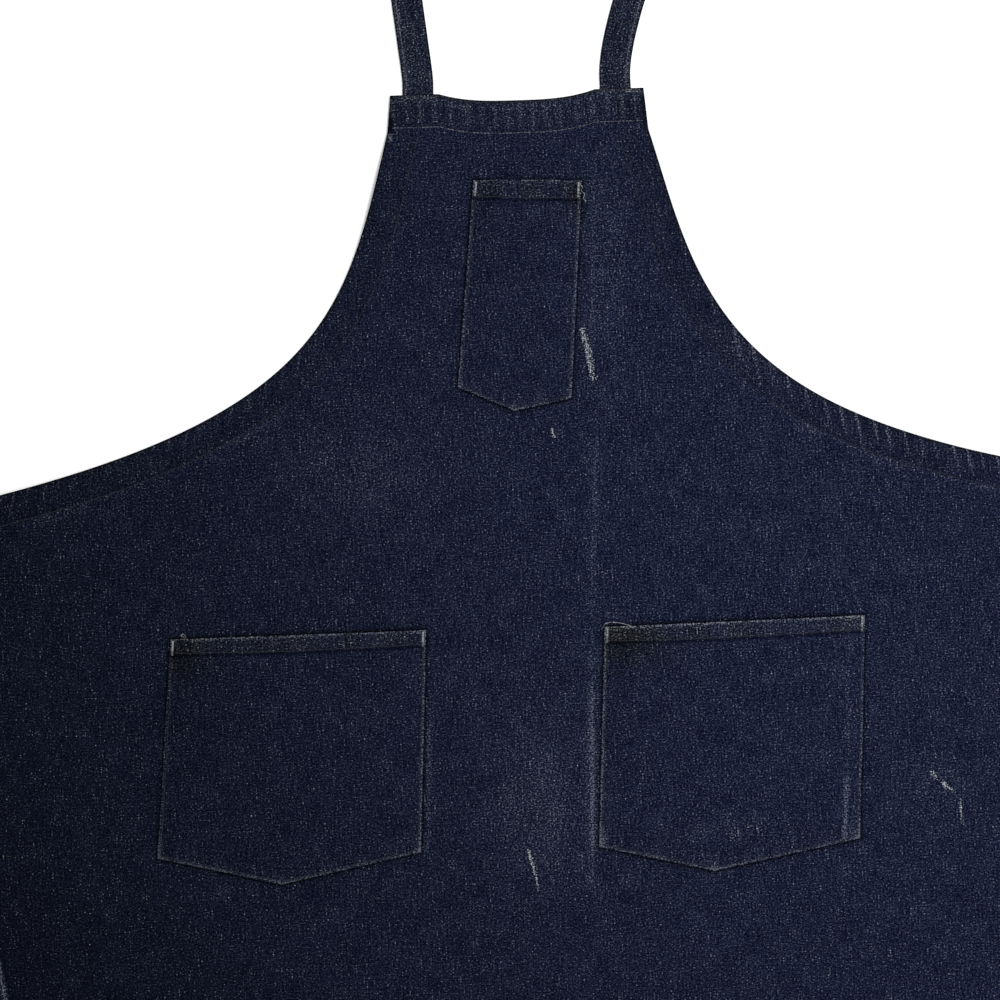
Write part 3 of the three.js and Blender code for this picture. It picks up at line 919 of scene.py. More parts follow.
def build_panel():
    plan, faces = panel_net()
    x, y = plan.T
    z, gaps = panel_surface(x, y)
    outer = np.minimum.reduce([gaps[key] for key in ("left", "right", "side", "bottom", "bib")])
    # A turned edge rolls down to the floor over the thickness of the fold.
    roll = np.clip(1 - outer / 1.6, 0, 1)
    top = np.stack([x, y, z - 1.1 * (1 - np.sqrt(1 - roll**2))], axis=1)
    base = z - CLOTH - (PANEL_Z - 0.15) * smoothstep(roll, 0.3, 1.0)
    base = np.maximum(base, 0.1)
    bottom = np.stack([x, y, base], axis=1)
    points, groups = thicken(top, bottom, faces)
    values = panel_values(x, y, gaps)
    values = {key: np.concatenate([value, value]) for key, value in values.items()}
    values["paint"][len(x):] = 0
    weave = weave_at(points[:, 0], points[:, 1], 0)
    looks = [DENIM, REVERSE_DENIM, DENIM]
    piece = add_piece("panel_cloth", points, groups, looks, weave, **values)
    return stands_for(piece, ["body_panel"])


# ---------- facings and hems on the wrong side ----------
STRIP_CLEAR = 0.05  # a strip stays this far from the floor and from what lies on it


def strip_piece(name, near, far, columns=5):
    """A thin strip of the cloth's wrong side between two lines of equal length."""
    shares = np.linspace(0, 1, columns)[:, None, None]
    plan = (1 - shares) * near + shares * far
    x, y = plan[..., 0].ravel(), plan[..., 1].ravel()
    base = STRIP_CLEAR + lie(x, y)
    faces = grid_faces(columns, len(near))
    a, b, c = plan.reshape(-1, 2)[faces[0][:3]]
    if (b - a)[0] * (c - a)[1] - (b - a)[1] * (c - a)[0] < 0:
        faces = faces[:, ::-1]
    top = np.stack([x, y, base + TURNING - 2 * STRIP_CLEAR], axis=1)
    bottom = np.stack([x, y, base], axis=1)
    points, groups = thicken(top, bottom, faces)
    edge = np.minimum(shares, 1 - shares) * np.linalg.norm(far - near, axis=1)[None, :, None]
    wear = np.tile(0.5 * np.exp(-edge.ravel() / 1.5), 2)
    weave = weave_at(points[:, 1] * 0.98, points[:, 0], 40)
    looks = [REVERSE_DENIM, DENIM, DENIM]
    return add_piece(
        name, points, groups, looks, weave,
        wear=wear, paint=np.zeros(len(points)), fade=fade_at(points[:, 0], points[:, 1]),
    )


FOLD_IN = 1.5  # a facing starts this far inside the panel's rolled edge
FACING_POINTS = 260


def build_facings():
    pieces = {}
    half = BIB_HALF - 2
    near, far = bib_line(FOLD_IN, half), bib_line(BAND, half)
    # The strap ends are sewn in below the bib, so the facing there is notched round them.
    x = near[:, 0]
    notch = np.abs(np.abs(x) - STRAP_X) < STRAP / 2 + 0.6
    near[notch, 1] = bib_top_y(x[notch]) - STRAP_END - 0.6
    piece = strip_piece("bib_facing_cloth", near, far, 7)
    pieces["bib_facing"] = stands_for(piece, ["bib_facing"])
    for side in ("left", "right"):
        sign = SIGN[side]
        lines = []
        for distance in (FOLD_IN, FACING):
            row = armhole_row(side, distance, 0.5)
            row = row[(bib_top_y(row[:, 0]) - row[:, 1] > BAND + 1.5) | (row[:, 1] < -BAND)]
            row = row[np.abs(row[:, 0]) < HALF_WIDTH - FOLD_IN]
            lines.append(resample(row, lengths_along(row)[-1] / FACING_POINTS))
        piece = strip_piece(f"armhole_facing_cloth_{side}", *lines, 6)
        node = f"armhole_facing_{side}"
        pieces[node] = stands_for(piece, [node])
        ends = SIDE_CORNER[1] - FACING - 1, HEM_Y + BOTTOM_HEM + 0.5
        near, far = (
            resample([(sign * (HALF_WIDTH - d), ends[0]), (sign * (HALF_WIDTH - d), ends[1])], 6)
            for d in (FOLD_IN, SIDE_HEM)
        )
        node = f"side_hem_{side}"
        piece = strip_piece(f"side_hem_cloth_{side}", near, far)
        pieces[node] = stands_for(piece, [node])
    edge = HALF_WIDTH - FOLD_IN
    near, far = (
        resample([(-edge, HEM_Y + d), (edge, HEM_Y + d)], 6) for d in (FOLD_IN, BOTTOM_HEM)
    )
    piece = strip_piece("bottom_hem_cloth", near, far, 6)
    pieces["bottom_hem"] = stands_for(piece, ["bottom_hem"])
    return pieces


# ---------- stitches ----------
STITCH = 3.0  # length of one stitch and its gap
STITCH_ROUND = 0.34  # radius of the thread
STITCH_SIDES = 6
THREAD_LIFT = 0.05  # of a strap's thread above its face
STITCH_SHARES = np.array([0, 0.16, 0.38, 0.62, 0.84, 1])


def thread_bodies(starts, ends, ups, radius, arch, rng, jitter=0.12):
    """Short arched threads from starts to ends, bulging along ups: points, faces, weave, wear."""
    rings, sides = len(STITCH_SHARES), STITCH_SIDES
    count = len(starts)
    along = ends - starts
    length = np.linalg.norm(along, axis=1)
    along = along / length[:, None]
    across = np.cross(ups, along)
    across /= np.linalg.norm(across, axis=1)[:, None]
    girth = radius * np.sin(np.pi * np.clip(STITCH_SHARES, 0.09, 0.91)) ** 0.4
    swing = rng.uniform(-jitter, jitter, (count, 1, 1)) * (STITCH_SHARES[None, :, None] - 0.5)
    middle = starts[:, None] + along[:, None] * (STITCH_SHARES[None, :, None] * length[:, None, None])
    middle = middle + across[:, None] * swing * 2
    lift = arch * np.sin(np.pi * STITCH_SHARES)
    middle = middle + ups[:, None] * lift[None, :, None]
    angle = np.arange(sides) * 2 * np.pi / sides
    side_part = np.cos(angle)[None, None, :, None] * across[:, None, None]
    up_part = np.sin(angle)[None, None, :, None] * ups[:, None, None]
    points = middle[:, :, None] + (side_part + up_part) * girth[None, :, None, None]
    index = np.arange(rings * sides).reshape(rings, sides)
    after = np.roll(index, -1, axis=1)
    walls = np.stack([index[:-1], after[:-1], after[1:], index[1:]], axis=-1).reshape(-1, 4)
    start_cap, end_cap = index[0][::-1], index[-1]
    size = rings * sides
    shift = (np.arange(count) * size)[:, None, None]
    groups = [
        (walls[None] + shift).reshape(-1, 4),
        (np.stack([start_cap, end_cap])[None] + shift).reshape(-1, sides),
    ]
    run = STITCH_SHARES[None, :, None] * length[:, None, None]
    weave = np.stack([
        np.broadcast_to(run, points.shape[:3]),
        np.broadcast_to(angle * radius, points.shape[:3]),
        np.broadcast_to(np.arange(count)[:, None, None] * 3.7, points.shape[:3]),
    ], axis=-1)
    wear = np.broadcast_to(rng.uniform(-0.35, 0.55, (count, 1, 1)), points.shape[:3])
    return points.reshape(-1, 3), groups, weave.reshape(-1, 3), wear.reshape(-1)


def join_bodies(bodies):
    """Several sets of bodies as one mesh's data."""
    points, quads, caps, weave, wear = [], [], [], [], []
    count = 0
    for part_points, (walls, ends), part_weave, part_wear in bodies:
        points.append(part_points)
        quads.append(walls + count)
        caps.append(ends + count)
        weave.append(part_weave)
        wear.append(part_wear)
        count += len(part_points)
    groups = [np.concatenate(quads), np.concatenate(caps)]
    return np.concatenate(points), groups, np.concatenate(weave), np.concatenate(wear)


def upright(line):
    return np.tile((0.0, 0.0, 1.0), (len(line), 1))


def stitches_along(line, rng, pitch=STITCH, gap=0.55, radius=STITCH_ROUND, ups=None):
    """Stitches laid end to end along a line in space, bulging upwards or along ups."""
    ups = upright(line) if ups is None else ups
    along = lengths_along(line)
    count = max(int(along[-1] / pitch), 1)
    firsts = np.arange(count) * (along[-1] / count) + gap / 2
    lasts = firsts + along[-1] / count - gap

    def at(places, values):
        return np.stack([np.interp(places, along, values[:, k]) for k in range(3)], axis=1)

    starts, ends = at(firsts, line), at(lasts, line)
    normals = at((firsts + lasts) / 2, ups)
    normals /= np.linalg.norm(normals, axis=1)[:, None]
    return thread_bodies(starts, ends, normals, radius, 0.16, rng)


TAIL_ROUND = 0.36  # radius of a loose end


def stray_thread(line):
    """One loose thread along a line in space."""
    rng = np.random.default_rng([SEED, 77])
    line = resample(line, 1.5)
    # Each piece overlaps the next, so the thread has no gaps.
    ends = line[1:] + np.diff(line, axis=0) * 0.25
    return thread_bodies(line[:-1], ends, upright(ends), TAIL_ROUND, 0, rng, 0)


def thread_piece(name, node, bodies, material, body="apron"):
    points, groups, weave, wear = join_bodies(bodies)
    piece = add_piece(name, points, groups, [material, material], weave, wear=wear)
    return stands_for(piece, [node], body)


def on_panel(plan):
    """A line in plan laid on the panel's front."""
    x, y = plan.T
    return np.stack([x, y, panel_surface(x, y)[0] + 0.12], axis=1)


def build_panel_stitching():
    side_x = HALF_WIDTH - SIDE_STITCH
    bottom_y = HEM_Y + BOTTOM_STITCH
    rows = {
        "bib_hem_stitching": (bib_line(BAND_STITCH, BIB_HALF - 1, 1.0), THREAD),
        "bib_edge_stitching": (bib_line(EDGE_STITCH, BIB_HALF - 2, 1.0), DARK_THREAD),
        "bottom_hem_stitching": (resample([(-side_x, bottom_y), (side_x, bottom_y)], 1.5), THREAD),
    }
    for side in ("left", "right"):
        row = armhole_row(side, FACING_STITCH, 1.0)
        keep = (bib_top_y(row[:, 0]) - row[:, 1] > BAND_STITCH) | (np.abs(row[:, 0]) > BIB_HALF)
        keep &= np.abs(row[:, 0]) < HALF_WIDTH - 1
        rows[f"armhole_stitching_{side}"] = row[keep], DARK_THREAD
        x = SIGN[side] * side_x
        ends = SIDE_CORNER[1] - FACING - 3, HEM_Y + BOTTOM_STITCH + 2
        rows[f"side_hem_stitching_{side}"] = resample([(x, ends[0]), (x, ends[1])], 1.5), THREAD
    pieces = {}
    for number, (node, (plan, material)) in enumerate(rows.items()):
        bodies = [stitches_along(on_panel(plan), np.random.default_rng([SEED, 10, number]))]
        pieces[node] = thread_piece(f"{node}_thread", node, bodies, material)
    return pieces


# ---------- patch pockets ----------
GAPE = 5.5  # how far a pocket's mouth stands open
FLANK = 24  # its front rises over this distance from a sewn edge


class Pocket:
    """A patch pocket's front as a surface over u, from left to right, and v, from foot to mouth."""

    def __init__(self, corners):
        self.corner = {k: np.array(v, float) for k, v in corners.items() if k != "hem"}
        corner = self.corner
        self.hem = corners["hem"]
        self.width = np.linalg.norm(corner["top_right"] - corner["top_left"])
        self.height = np.linalg.norm(corner["top_left"] - corner["bottom_left"])
        foot = corner["bottom_right"] - corner["bottom_left"]
        self.tip_u = (corner["tip"] - corner["bottom_left"])[0] / foot[0]
        self.drop = corner["tip"] - (corner["bottom_left"] + foot * self.tip_u)

    def plan(self, u, v):
        u, v = np.broadcast_arrays(np.asarray(u, float), np.asarray(v, float))
        corner = self.corner
        left = corner["bottom_left"] + v[..., None] * (corner["top_left"] - corner["bottom_left"])
        right = corner["bottom_right"] + v[..., None] * (
            corner["top_right"] - corner["bottom_right"]
        )
        share = np.where(u < self.tip_u, u / self.tip_u, (1 - u) / (1 - self.tip_u))
        return left + u[..., None] * (right - left) + (share * (1 - v))[..., None] * self.drop

    def side_gap(self, u):
        return np.minimum(u, 1 - u) * self.width

    def rise(self, u, v):
        flank = smoothstep(self.side_gap(u), 0, FLANK) * smoothstep(v * self.height, 0, FLANK)
        sag = 0.3 + 0.7 * smoothstep(v, 0.2, 1.0)
        ripple = 1 + 0.18 * np.sin(9 * u + 3 * v) * np.sin(4 * u - 5 * v + 1)
        return GAPE * flank * sag * ripple

    def point(self, u, v, lift=0.0):
        """A point that far above the underside of the pocket's front."""
        plan = self.plan(u, v)
        x, y = plan[..., 0], plan[..., 1]
        shape = x.shape
        ground = lie(x.ravel(), y.ravel()).reshape(shape)
        puckered = 0.25 * np.sin(v * self.height / 1.9) * np.exp(-self.side_gap(u) / 5)
        z = SURFACE_Z + ground + self.rise(u, v) + puckered * smoothstep(v, 0.02, 0.1)
        return np.stack([x, y, z + lift], axis=-1)


EDGE_PLACES = (0, 0.35, 0.8, 1.5, 2.5, 3.6, 5, 7, 9.5, 12.5, 16, 20, 24)


POCKET_GRID = 4.0


def spread(length, spacing, extra):
    """Shares of a length, close together at both ends, and at extra places along it."""
    far = [length - place for place in EDGE_PLACES]
    middle = np.arange(EDGE_PLACES[-1] + spacing, far[-1] - spacing / 2, spacing)
    places = np.unique(np.round(np.concatenate([EDGE_PLACES, middle, far, extra]), 3))
    keep = np.concatenate([[True], np.diff(places) > 0.2])
    return np.clip(places[keep] / length, 0, 1)


# Wear along a pocket's left edge, right edge, foot, mouth, and in its two lower corners.
POCKET_WEAR = {
    "chest_pocket": (0.42, 0.5, 0.55, 0.4, 0.3, 0.4),
    "hip_pocket_left": (0.34, 0.5, 0.75, 0.85, 0.7, 0.75),
    "hip_pocket_right": (0.65, 0.36, 0.55, 0.85, 1.1, 0.9),
}


def pocket_wear(name, pocket, u, v):
    """How worn a pocket's front is, most along its edges and at its corners, with a painted shadow
    below the step of its hem.
    """
    left, right, foot, mouth, corner_left, corner_right = POCKET_WEAR[name]
    from_left, from_right = u * pocket.width, (1 - u) * pocket.width
    from_foot, from_top = v * pocket.height, (1 - v) * pocket.height
    wear = left * np.exp(-(((from_left - 0.9) / 1.1) ** 2))
    wear += right * np.exp(-(((from_right - 0.9) / 1.1) ** 2))
    broken = 0.45 + 0.55 * np.sin(u * pocket.width / 7.7 + 2 * np.sin(u * 19)) ** 2
    wear += foot * broken * np.exp(-(((from_foot - 0.9) / 1.1) ** 2))
    speckled = 0.5 + 0.5 * np.sin(u * pocket.width / 3.1 + 2.5 * np.sin(u * 31))
    wear += mouth * np.exp(-(((from_top - 0.7) / 1.0) ** 2)) * (0.4 + 0.6 * speckled)
    band = (from_top > 1.5) & (from_top < pocket.hem - 1)
    wear += np.where(band, 0.05, 0)
    # Painted shadow below the step of the hem's turning.
    wear -= 0.4 * np.exp(-(((from_top - pocket.hem - 0.3) / 0.9) ** 2))
    streaks = 0.5 + 0.5 * np.sin(u * pocket.width / 2.6 + 3 * np.sin(u * 11))
    wear += 0.2 * streaks**3 * np.exp(-((from_foot / 9) ** 2))
    from_tip = (u - pocket.tip_u) * pocket.width
    wear += 0.6 * np.exp(-((from_tip / 3) ** 2) - (from_foot / 4) ** 2)
    for strength, side in ((corner_left, from_left), (corner_right, from_right)):
        wear += 0.6 * strength * np.exp(-((side / 4.5) ** 2) - (from_foot / 14) ** 2)
    if name == "hip_pocket_right":
        fold = np.exp(-(((from_right - 12) / 1.4) ** 2)) * (1 - smoothstep(from_foot, 40, 62))
        wear += 0.5 * fold
        wear += 0.14 * np.exp(-(((from_right - 12) / 1.3) ** 2))
    plan = pocket.plan(u, v)
    return wear + patches_at(plan[..., 0], plan[..., 1])


# How far the grime under each pocket's mouth reaches, along it and down from it.
STAIN_REACH = {
    "chest_pocket": (12, 12),
    "hip_pocket_left": (30, 16),
    "hip_pocket_right": (48, 17),
}


def pocket_cloth(name, pocket, number):
    """A pocket's front, as one closed sheet."""
    us = spread(pocket.width, POCKET_GRID, [pocket.tip_u * pocket.width])
    hem_line = pocket.height - pocket.hem
    extra = [hem_line - 1.6, hem_line - 0.6, hem_line + 0.3, hem_line + 1.3]
    vs = spread(pocket.height, POCKET_GRID, extra)
    u, v = np.meshgrid(us, vs)
    gap = np.minimum(pocket.side_gap(u), v * pocket.height)
    mouth = (1 - v) * pocket.height
    # Edges turned under are rounded, and the hem's turning shows as a low step.
    drop = 0.8 * (1 - np.sqrt(1 - np.clip(1 - gap / 1.3, 0, 1) ** 2))
    drop += 0.7 * (1 - np.sqrt(1 - np.clip(1 - mouth / 1.1, 0, 1) ** 2))
    seam = 0.25 * np.exp(-(((gap - POCKET_STITCH) / 0.9) ** 2))
    step = 0.3 * smoothstep(mouth, pocket.hem + 0.9, pocket.hem - 0.9)
    top = pocket.point(u, v, CLOTH - drop - seam + step).reshape(-1, 3)
    bottom = pocket.point(u, v, 0.02).reshape(-1, 3)
    bottom[:, 2] = np.minimum(bottom[:, 2], top[:, 2] - 0.15)
    points, groups = thicken(top, bottom, grid_faces(len(vs), len(us)))
    wear = np.tile(pocket_wear(name, pocket, u, v).ravel(), 2)
    fade = fade_at(points[:, 0], points[:, 1])
    # Years of hands have darkened the cloth under each mouth, most in one corner.
    dark_corner = pocket.corner["top_right" if name == "chest_pocket" else "top_left"]
    away = (points[:, :2] - dark_corner - (0, -14)) / STAIN_REACH[name]
    stain = np.exp(-(away**2).sum(axis=1))
    paint = paint_at(points[:, 0], points[:, 1])
    paint[len(top):] = 0
    weave = weave_at(points[:, 0] + 0.04 * points[:, 1], points[:, 1], 10 + number)
    blotchy = 0.65 + 0.35 * np.sin(points[:, 0] / 9 + 2 * np.sin(points[:, 0] / 23))
    top_band = np.tile((1 - smoothstep(mouth, pocket.hem - 1, pocket.hem + 1)).ravel(), 2)
    piece = add_piece(
        f"{name}_cloth", points, groups, [DENIM, REVERSE_DENIM, DENIM], weave,
        wear=wear, paint=paint, fade=fade * (1 - 0.4 * stain),
        soil=np.clip(0.42 * top_band * blotchy + 0.6 * stain, 0, 1),
    )
    return stands_for(piece, [name])


HEM_INSET = 9  # a pocket's turning ends this far in from its sides


def pocket_hem(name, pocket):
    """The turning behind a pocket's mouth."""
    us = np.linspace(HEM_INSET / pocket.width, 1 - HEM_INSET / pocket.width, 48)
    vs = np.linspace(1 - pocket.hem / pocket.height, 1 - 0.8 / pocket.height, 5)
    u, v = np.meshgrid(us, vs)
    top = pocket.point(u, v, -0.08).reshape(-1, 3)
    bottom = pocket.point(u, v, -0.8).reshape(-1, 3)
    points, groups = thicken(top, bottom, grid_faces(len(vs), len(us)))
    weave = weave_at(points[:, 0], points[:, 1], 55)
    piece = add_piece(
        f"{name}_hem_cloth", points, groups, [REVERSE_DENIM] * 3, weave,
        wear=np.full(len(points), 0.1), paint=np.zeros(len(points)),
        fade=fade_at(points[:, 0], points[:, 1]),
    )
    return stands_for(piece, [f"{name}_hem"])


def pocket_line(pocket, stops, lift):
    """A line over the pocket's front through (u, v) stops."""
    scale = np.array([pocket.width, pocket.height])
    shares = resample(np.array(stops, float) * scale, 1.2) / scale
    return pocket.point(shares[:, 0], shares[:, 1], lift)


TACK_LONG = 12  # bar of thread at each corner of a pocket's mouth
TACK_WIDE = 1.9
TACK_STEP = 0.62  # along the bar from one turn of its zigzag to the next


def bar_tack(pocket, side, rng):
    """A zigzag of thread beside the pocket's mouth, over two laid threads."""
    inward = POCKET_STITCH / pocket.width
    u = inward if side == "left" else 1 - inward
    half = TACK_WIDE / 2 / pocket.width
    turns = np.arange(0, TACK_LONG, TACK_STEP)
    depth = (pocket.height - 1.6 - turns) / pocket.height
    swing = np.where(np.arange(len(turns)) % 2, half, -half)
    places = pocket.point(u + swing, depth, CLOTH + 0.28)
    ups = upright(places[1:])
    zigzag = list(thread_bodies(places[:-1], places[1:], ups, 0.3, 0.2, rng, 0))
    rubbed = np.linspace(0.7, -0.5, len(places) - 1)  # the mouth's end is rubbed white
    zigzag[3] = zigzag[3] + np.repeat(rubbed, len(zigzag[3]) // len(rubbed))
    rails = []
    for offset in (-0.4 * half, 0.4 * half):
        line = pocket_line(pocket, [(u + offset, depth[0]), (u + offset, depth[-1])], CLOTH + 0.05)
        rails.append(stitches_along(line, rng, 4.0, 0.1, 0.4))
    return [zigzag, *rails]


# Loose ends of thread: pocket, side of its mouth, and the line that the end takes in plan.
TAILS = {
    ("hip_pocket_left", "left"): (
        (-286.3, -431.8), (-289.5, -430.2), (-287.2, -428.9), (-284.6, -431), (-287, -434.4),
        (-291, -436),
    ),
    ("hip_pocket_right", "left"): (
        (55.5, -436), (59, -431.2), (64, -430.2), (72, -431.4), (82, -434.6), (91.3, -435.2),
    ),
    ("chest_pocket", "right"): (
        (48.8, -71), (51.6, -73), (50, -76.5), (53.4, -79), (51.5, -82.5), (53.8, -85),
    ),
}


def tail_body(name, side):
    plan = resample(TAILS[name, side], 1.0)
    x, y = plan.T
    z = PANEL_TOP + lie(x, y) + 1.75
    return stray_thread(np.stack([x, y, z], axis=1))


def build_pockets():
    pieces = {}
    for number, (name, corners) in enumerate(POCKETS.items()):
        pocket = Pocket(corners)
        pieces[name] = pocket_cloth(name, pocket, number)
        pieces[f"{name}_hem"] = pocket_hem(name, pocket)
        in_u, in_v = POCKET_STITCH / pocket.width, POCKET_STITCH / pocket.height
        hem_v = 1 - (pocket.hem - 1.5) / pocket.height
        line = pocket_line(pocket, [(2 * in_u, hem_v), (1 - 2 * in_u, hem_v)], CLOTH + 0.38)
        bodies = [stitches_along(line, np.random.default_rng([SEED, 30, number]))]
        node = f"{name}_hem_stitching"
        pieces[node] = thread_piece(f"{node}_thread", node, bodies, DARK_THREAD)
        top_v = 1 - (TACK_LONG + 3) / pocket.height
        tip = pocket.tip_u
        stops = [(in_u, top_v), (in_u, in_v), (tip, in_v), (1 - in_u, in_v), (1 - in_u, top_v)]
        line = pocket_line(pocket, stops, CLOTH - 0.1)
        bodies = [stitches_along(line, np.random.default_rng([SEED, 40, number]))]
        node = f"{name}_stitching"
        pieces[node] = thread_piece(f"{node}_thread", node, bodies, DARK_THREAD)
        for side in ("left", "right"):
            node = f"{name}_tack_{side}"
            bodies = bar_tack(pocket, side, np.random.default_rng([SEED, 50, number]))
            if (name, side) in TAILS:
                bodies.append(tail_body(name, side))
            pieces[node] = thread_piece(f"{node}_thread", node, bodies, TACK_THREAD)
    return pieces


# ---------- straps ----------
# Places across a strap, close together at its edges and beside its stitching.
STRAP_COLUMNS = np.array([
    0, 0.3, 0.9, 1.9, 3.0, 3.6, 4.2, 6, 9, 12.7, 16.4, 19.4, 22.4, 23.5, 24.5, 25.1, 25.4,
])


def band_frame(middle, angle):
    """Unit vectors across a strap and out of its face, for its turn about its own line."""
    normal = left_normals(middle)
    flat = np.concatenate([normal, np.zeros((len(normal), 1))], axis=1)
    up = np.array([0.0, 0.0, 1.0])
    across = flat * np.cos(angle)[:, None] + up * np.sin(angle)[:, None]
    face = up * np.cos(angle)[:, None] - flat * np.sin(angle)[:, None]
    return across, face


def strap_mesh(name, middle, angle, stitch_offset, seed):
    """A flat tube of denim, pressed and rounded along both edges."""
    across, face = band_frame(middle, angle)
    offset = STRAP_COLUMNS - STRAP / 2
    edge = STRAP / 2 - np.abs(offset)
    half = STRAP_THICK / 2
    rounded = half * np.sqrt(1 - np.clip(1 - edge / 0.9, 0, 1) ** 2) * 0.96 + 0.04 * half
    groove = 0.12 * np.exp(-(((offset - stitch_offset) / 0.6) ** 2))
    along = lengths_along(middle)
    rng = np.random.default_rng([SEED, seed])
    phase = rng.uniform(0, 6, 3)
    wave = 0.16 * np.sin(along / 7.3 + phase[0]) + 0.12 * np.sin(along / 17 + phase[1])
    centre = middle[:, None] + across[:, None] * offset[None, :, None]
    # The upper face is a little uneven, apart from its pressed edges.
    uneven = 0.3 * np.abs(wave[:, None]) * (edge > 1)
    upper = centre + face[:, None] * (rounded - groove + uneven)[..., None]
    lower = centre - face[:, None] * rounded[None, :, None]
    rows, columns = len(middle), len(offset)
    faces = grid_faces(rows, columns)[:, ::-1]
    flat_upper, flat_lower = upper.reshape(-1, 3), lower.reshape(-1, 3)
    points, groups = thicken(flat_upper, flat_lower, faces)
    run = np.repeat(along, columns)
    weave = weave_at(np.tile(offset, rows), run, 80 + seed)
    gap = np.tile(edge, rows)
    stitch_gap = np.tile(offset - stitch_offset, rows)
    patchy = 0.6 + 0.4 * np.sin(run / 11 + phase[2])
    # The first term is wear beside the edges; the second is painted shade along the rounded edges.
    wear = 0.2 * np.exp(-(((gap - 1.8) / 0.8) ** 2)) * patchy - 0.5 * np.exp(-((gap / 0.8) ** 2))
    wear += 0.28 * np.exp(-((stitch_gap / 1.6) ** 2))
    wear = np.tile(wear, 2)
    weave = np.concatenate([weave, weave + (0, 0, 5)])
    return add_piece(
        name, points, groups, [STRAP_DENIM] * 3, weave,
        wear=wear, paint=np.zeros(len(points)), fade=np.full(len(points), 1.08),
    )


def strap_stitches(middle, angle, offset, seed):
    across, face = band_frame(middle, angle)
    line = middle + across * offset + face * (STRAP_THICK / 2 + THREAD_LIFT)
    return stitches_along(line, np.random.default_rng([SEED, seed]), ups=face)


def neck_middle():
    """The neck strap's middle line from one sewn end to the other, and its turn at each point."""
    route = catmull_rom(NECK_ROUTE, 300)
    share = lengths_along(route) / lengths_along(route)[-1]
    angle = -math.pi / 2 * smoothstep(np.minimum(share, 1 - share), *NECK_TWIST)
    z = STRAP / 2 * np.abs(np.sin(angle)) + STRAP_THICK / 2 * np.cos(angle) + 0.08
    route = np.concatenate([route, z[:, None]], axis=1)
    seam_y = NECK_ROUTE[0][1]
    tail_y = np.linspace(BIB_RISE - STRAP_END, seam_y, 13)[:-1]
    tails = [
        np.stack([np.full(12, x), tail_y, np.full(12, STRAP_THICK / 2)], axis=1)
        for x in (-STRAP_X, STRAP_X)
    ]
    middle = np.concatenate([tails[0], route, tails[1][::-1]])
    return middle, np.concatenate([np.zeros(12), angle, np.zeros(12)])


def build_straps():
    pieces = {}
    middle, angle = neck_middle()
    outward = STRAP / 2 - STRAP_STITCH
    strap = strap_mesh("neck_strap_cloth", middle, angle, outward, 1)
    nodes = ["neck_strap", "neck_strap_end_left", "neck_strap_end_right"]
    stands_for(strap, nodes, None)
    # No stitches show on the ends that are sewn in.
    visible = slice(14, -14)
    bodies = [strap_stitches(middle[visible], angle[visible], outward, 61)]
    node = "neck_strap_stitching"
    row = thread_piece("neck_strap_thread", node, bodies, THREAD, body=None)
    for piece in (strap, row):
        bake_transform(piece)
    pieces["neck_strap"], pieces[node] = strap, row

    for side, sign in SIGN.items():
        plan = catmull_rom([(sign * x, y) for x, y in TIE_ROUTE], 260)
        z = TIE_Z + STRAP_THICK / 2 + 0.15 + lie(*plan.T)
        middle = np.concatenate([plan, z[:, None]], axis=1)
        flat = np.zeros(len(middle))
        offset = -sign * outward
        tie = strap_mesh(f"waist_tie_cloth_{side}", middle, flat, offset, 2 + sign)
        stands_for(tie, [f"waist_tie_{side}"], None)
        bodies = [strap_stitches(middle[10:], flat[10:], offset, 70 + sign)]
        node = f"waist_tie_stitching_{side}"
        row = thread_piece(f"waist_tie_thread_{side}", node, bodies, THREAD, body=None)
        x = sign * TIE_ROUTE[0][0]
        for piece in (tie, row):
            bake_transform(piece)
        pieces[f"waist_tie_{side}"], pieces[node] = tie, row

        y = TIE_ROUTE[0][1] - STRAP / 2
        half = (TIE_TACK - 1) / 2
        corners = np.array([(-1, -1), (1, -1), (1, 1), (-1, 1), (-1, -1), (1, 1)], float)
        square = resample(corners * half + (x, y), 0.8)
        height = np.interp(square[:, 1], plan[::-1, 1], z[::-1]) + STRAP_THICK / 2 + 0.08
        line = np.concatenate([square, height[:, None]], axis=1)
        bodies = [stitches_along(line, np.random.default_rng([SEED, 90 + sign]), 2.8)]
        node = f"waist_tie_tack_{side}"
        pieces[node] = thread_piece(f"{node}_thread", node, bodies, THREAD)
    return pieces


panel = build_panel()
build_facings()
build_panel_stitching()
build_pockets()
build_straps()


# ---------- floor, light and camera ----------
scene = bpy.context.scene


FLOOR_HALF = 40  # metres, so that a low view shows no corner of it


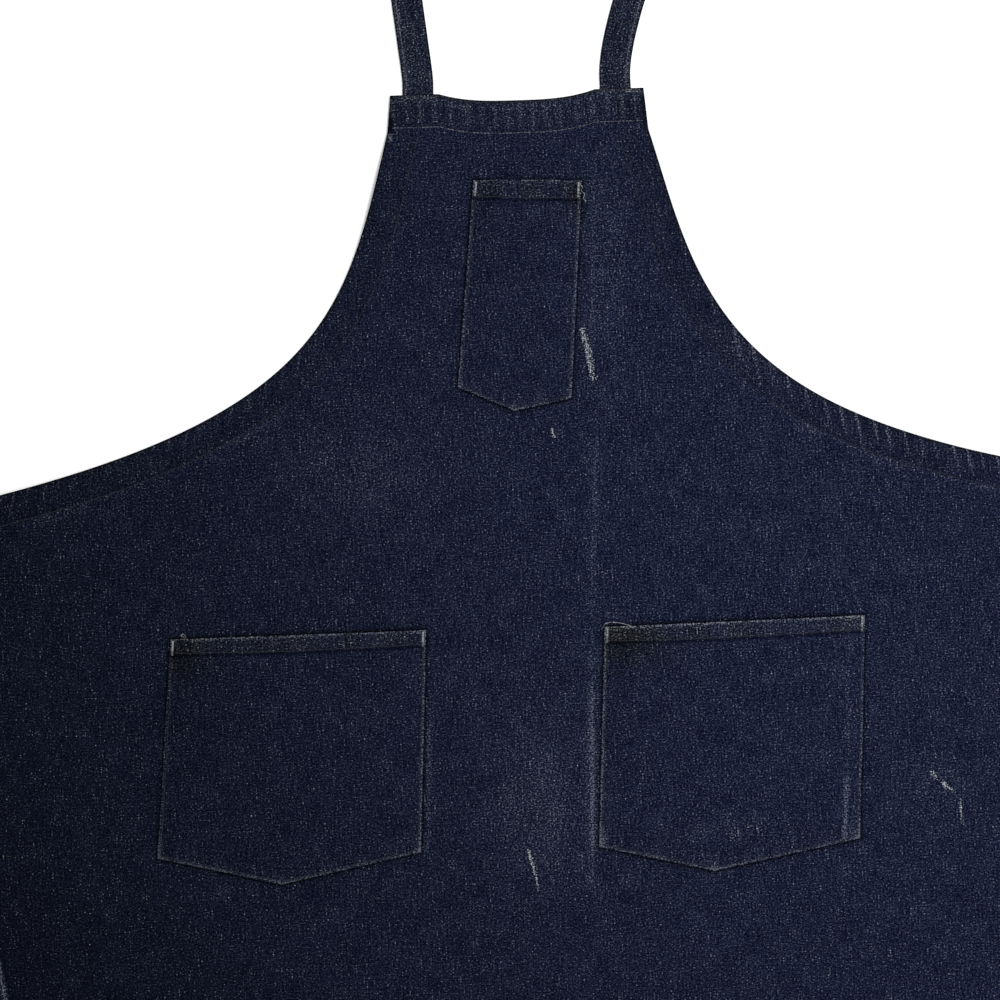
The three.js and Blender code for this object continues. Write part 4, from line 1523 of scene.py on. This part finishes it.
def add_floor():
    mesh = bpy.data.meshes.new("floor")
    corners = [(FLOOR_HALF * x, FLOOR_HALF * y, 0) for x, y in ((-1, -1), (1, -1), (1, 1), (-1, 1))]
    mesh.from_pydata(corners, [], [(0, 1, 2, 3)])
    floor = bpy.data.objects.new("floor", mesh)
    scene.collection.objects.link(floor)
    material, nodes, _ = node_tree("white_floor")
    shader = nodes["Principled BSDF"]
    shader.inputs["Base Color"].default_value = (0.93, 0.93, 0.93, 1)
    shader.inputs["Roughness"].default_value = 0.9
    shader.inputs["Specular IOR Level"].default_value = 0.1
    mesh.materials.append(material)


# Name, place and size in metres, watts. The key light comes from the upper right.
LIGHTS = (
    ("key", (1.6, 2.0, 1.7), 0.9, 86),
    ("fill", (-1.8, -0.6, 2.6), 2.2, 5),
)


def add_light(name, place, size, watts):
    """A square light that faces the frame's origin."""
    data = bpy.data.lights.new(name, "AREA")
    data.shape = "SQUARE"
    data.size = size
    data.energy = watts
    light = bpy.data.objects.new(name, data)
    light.location = place
    light.rotation_euler = (-Vector(place)).to_track_quat("-Z", "Y").to_euler()
    scene.collection.objects.link(light)


VIEW_WIDTH = 0.820  # metres of cloth across the picture
VIEW_MIDDLE = (-24.2, -327.4)  # drawing's place at the picture's middle
VIEW_TURN = -1.8  # degrees
LENS = 110
SENSOR = 36


def add_camera():
    data = bpy.data.cameras.new("camera")
    data.lens = LENS
    data.sensor_width = SENSOR
    data.clip_end = 50
    camera = bpy.data.objects.new("camera", data)
    x, y, z = to_row([*VIEW_MIDDLE, PANEL_TOP])
    camera.location = (x, y, z + VIEW_WIDTH * LENS / SENSOR)
    camera.rotation_euler = (0, 0, math.radians(VIEW_TURN))
    scene.collection.objects.link(camera)
    scene.camera = camera


add_floor()
for light in LIGHTS:
    add_light(*light)
world = bpy.data.worlds.new("studio")
world.use_nodes = True
sky = world.node_tree.nodes["Background"]
sky.inputs["Color"].default_value = (1.0, 1.0, 1.0, 1)
sky.inputs["Strength"].default_value = 0.8
scene.world = world
scene.view_settings.view_transform = "Standard"
add_camera()
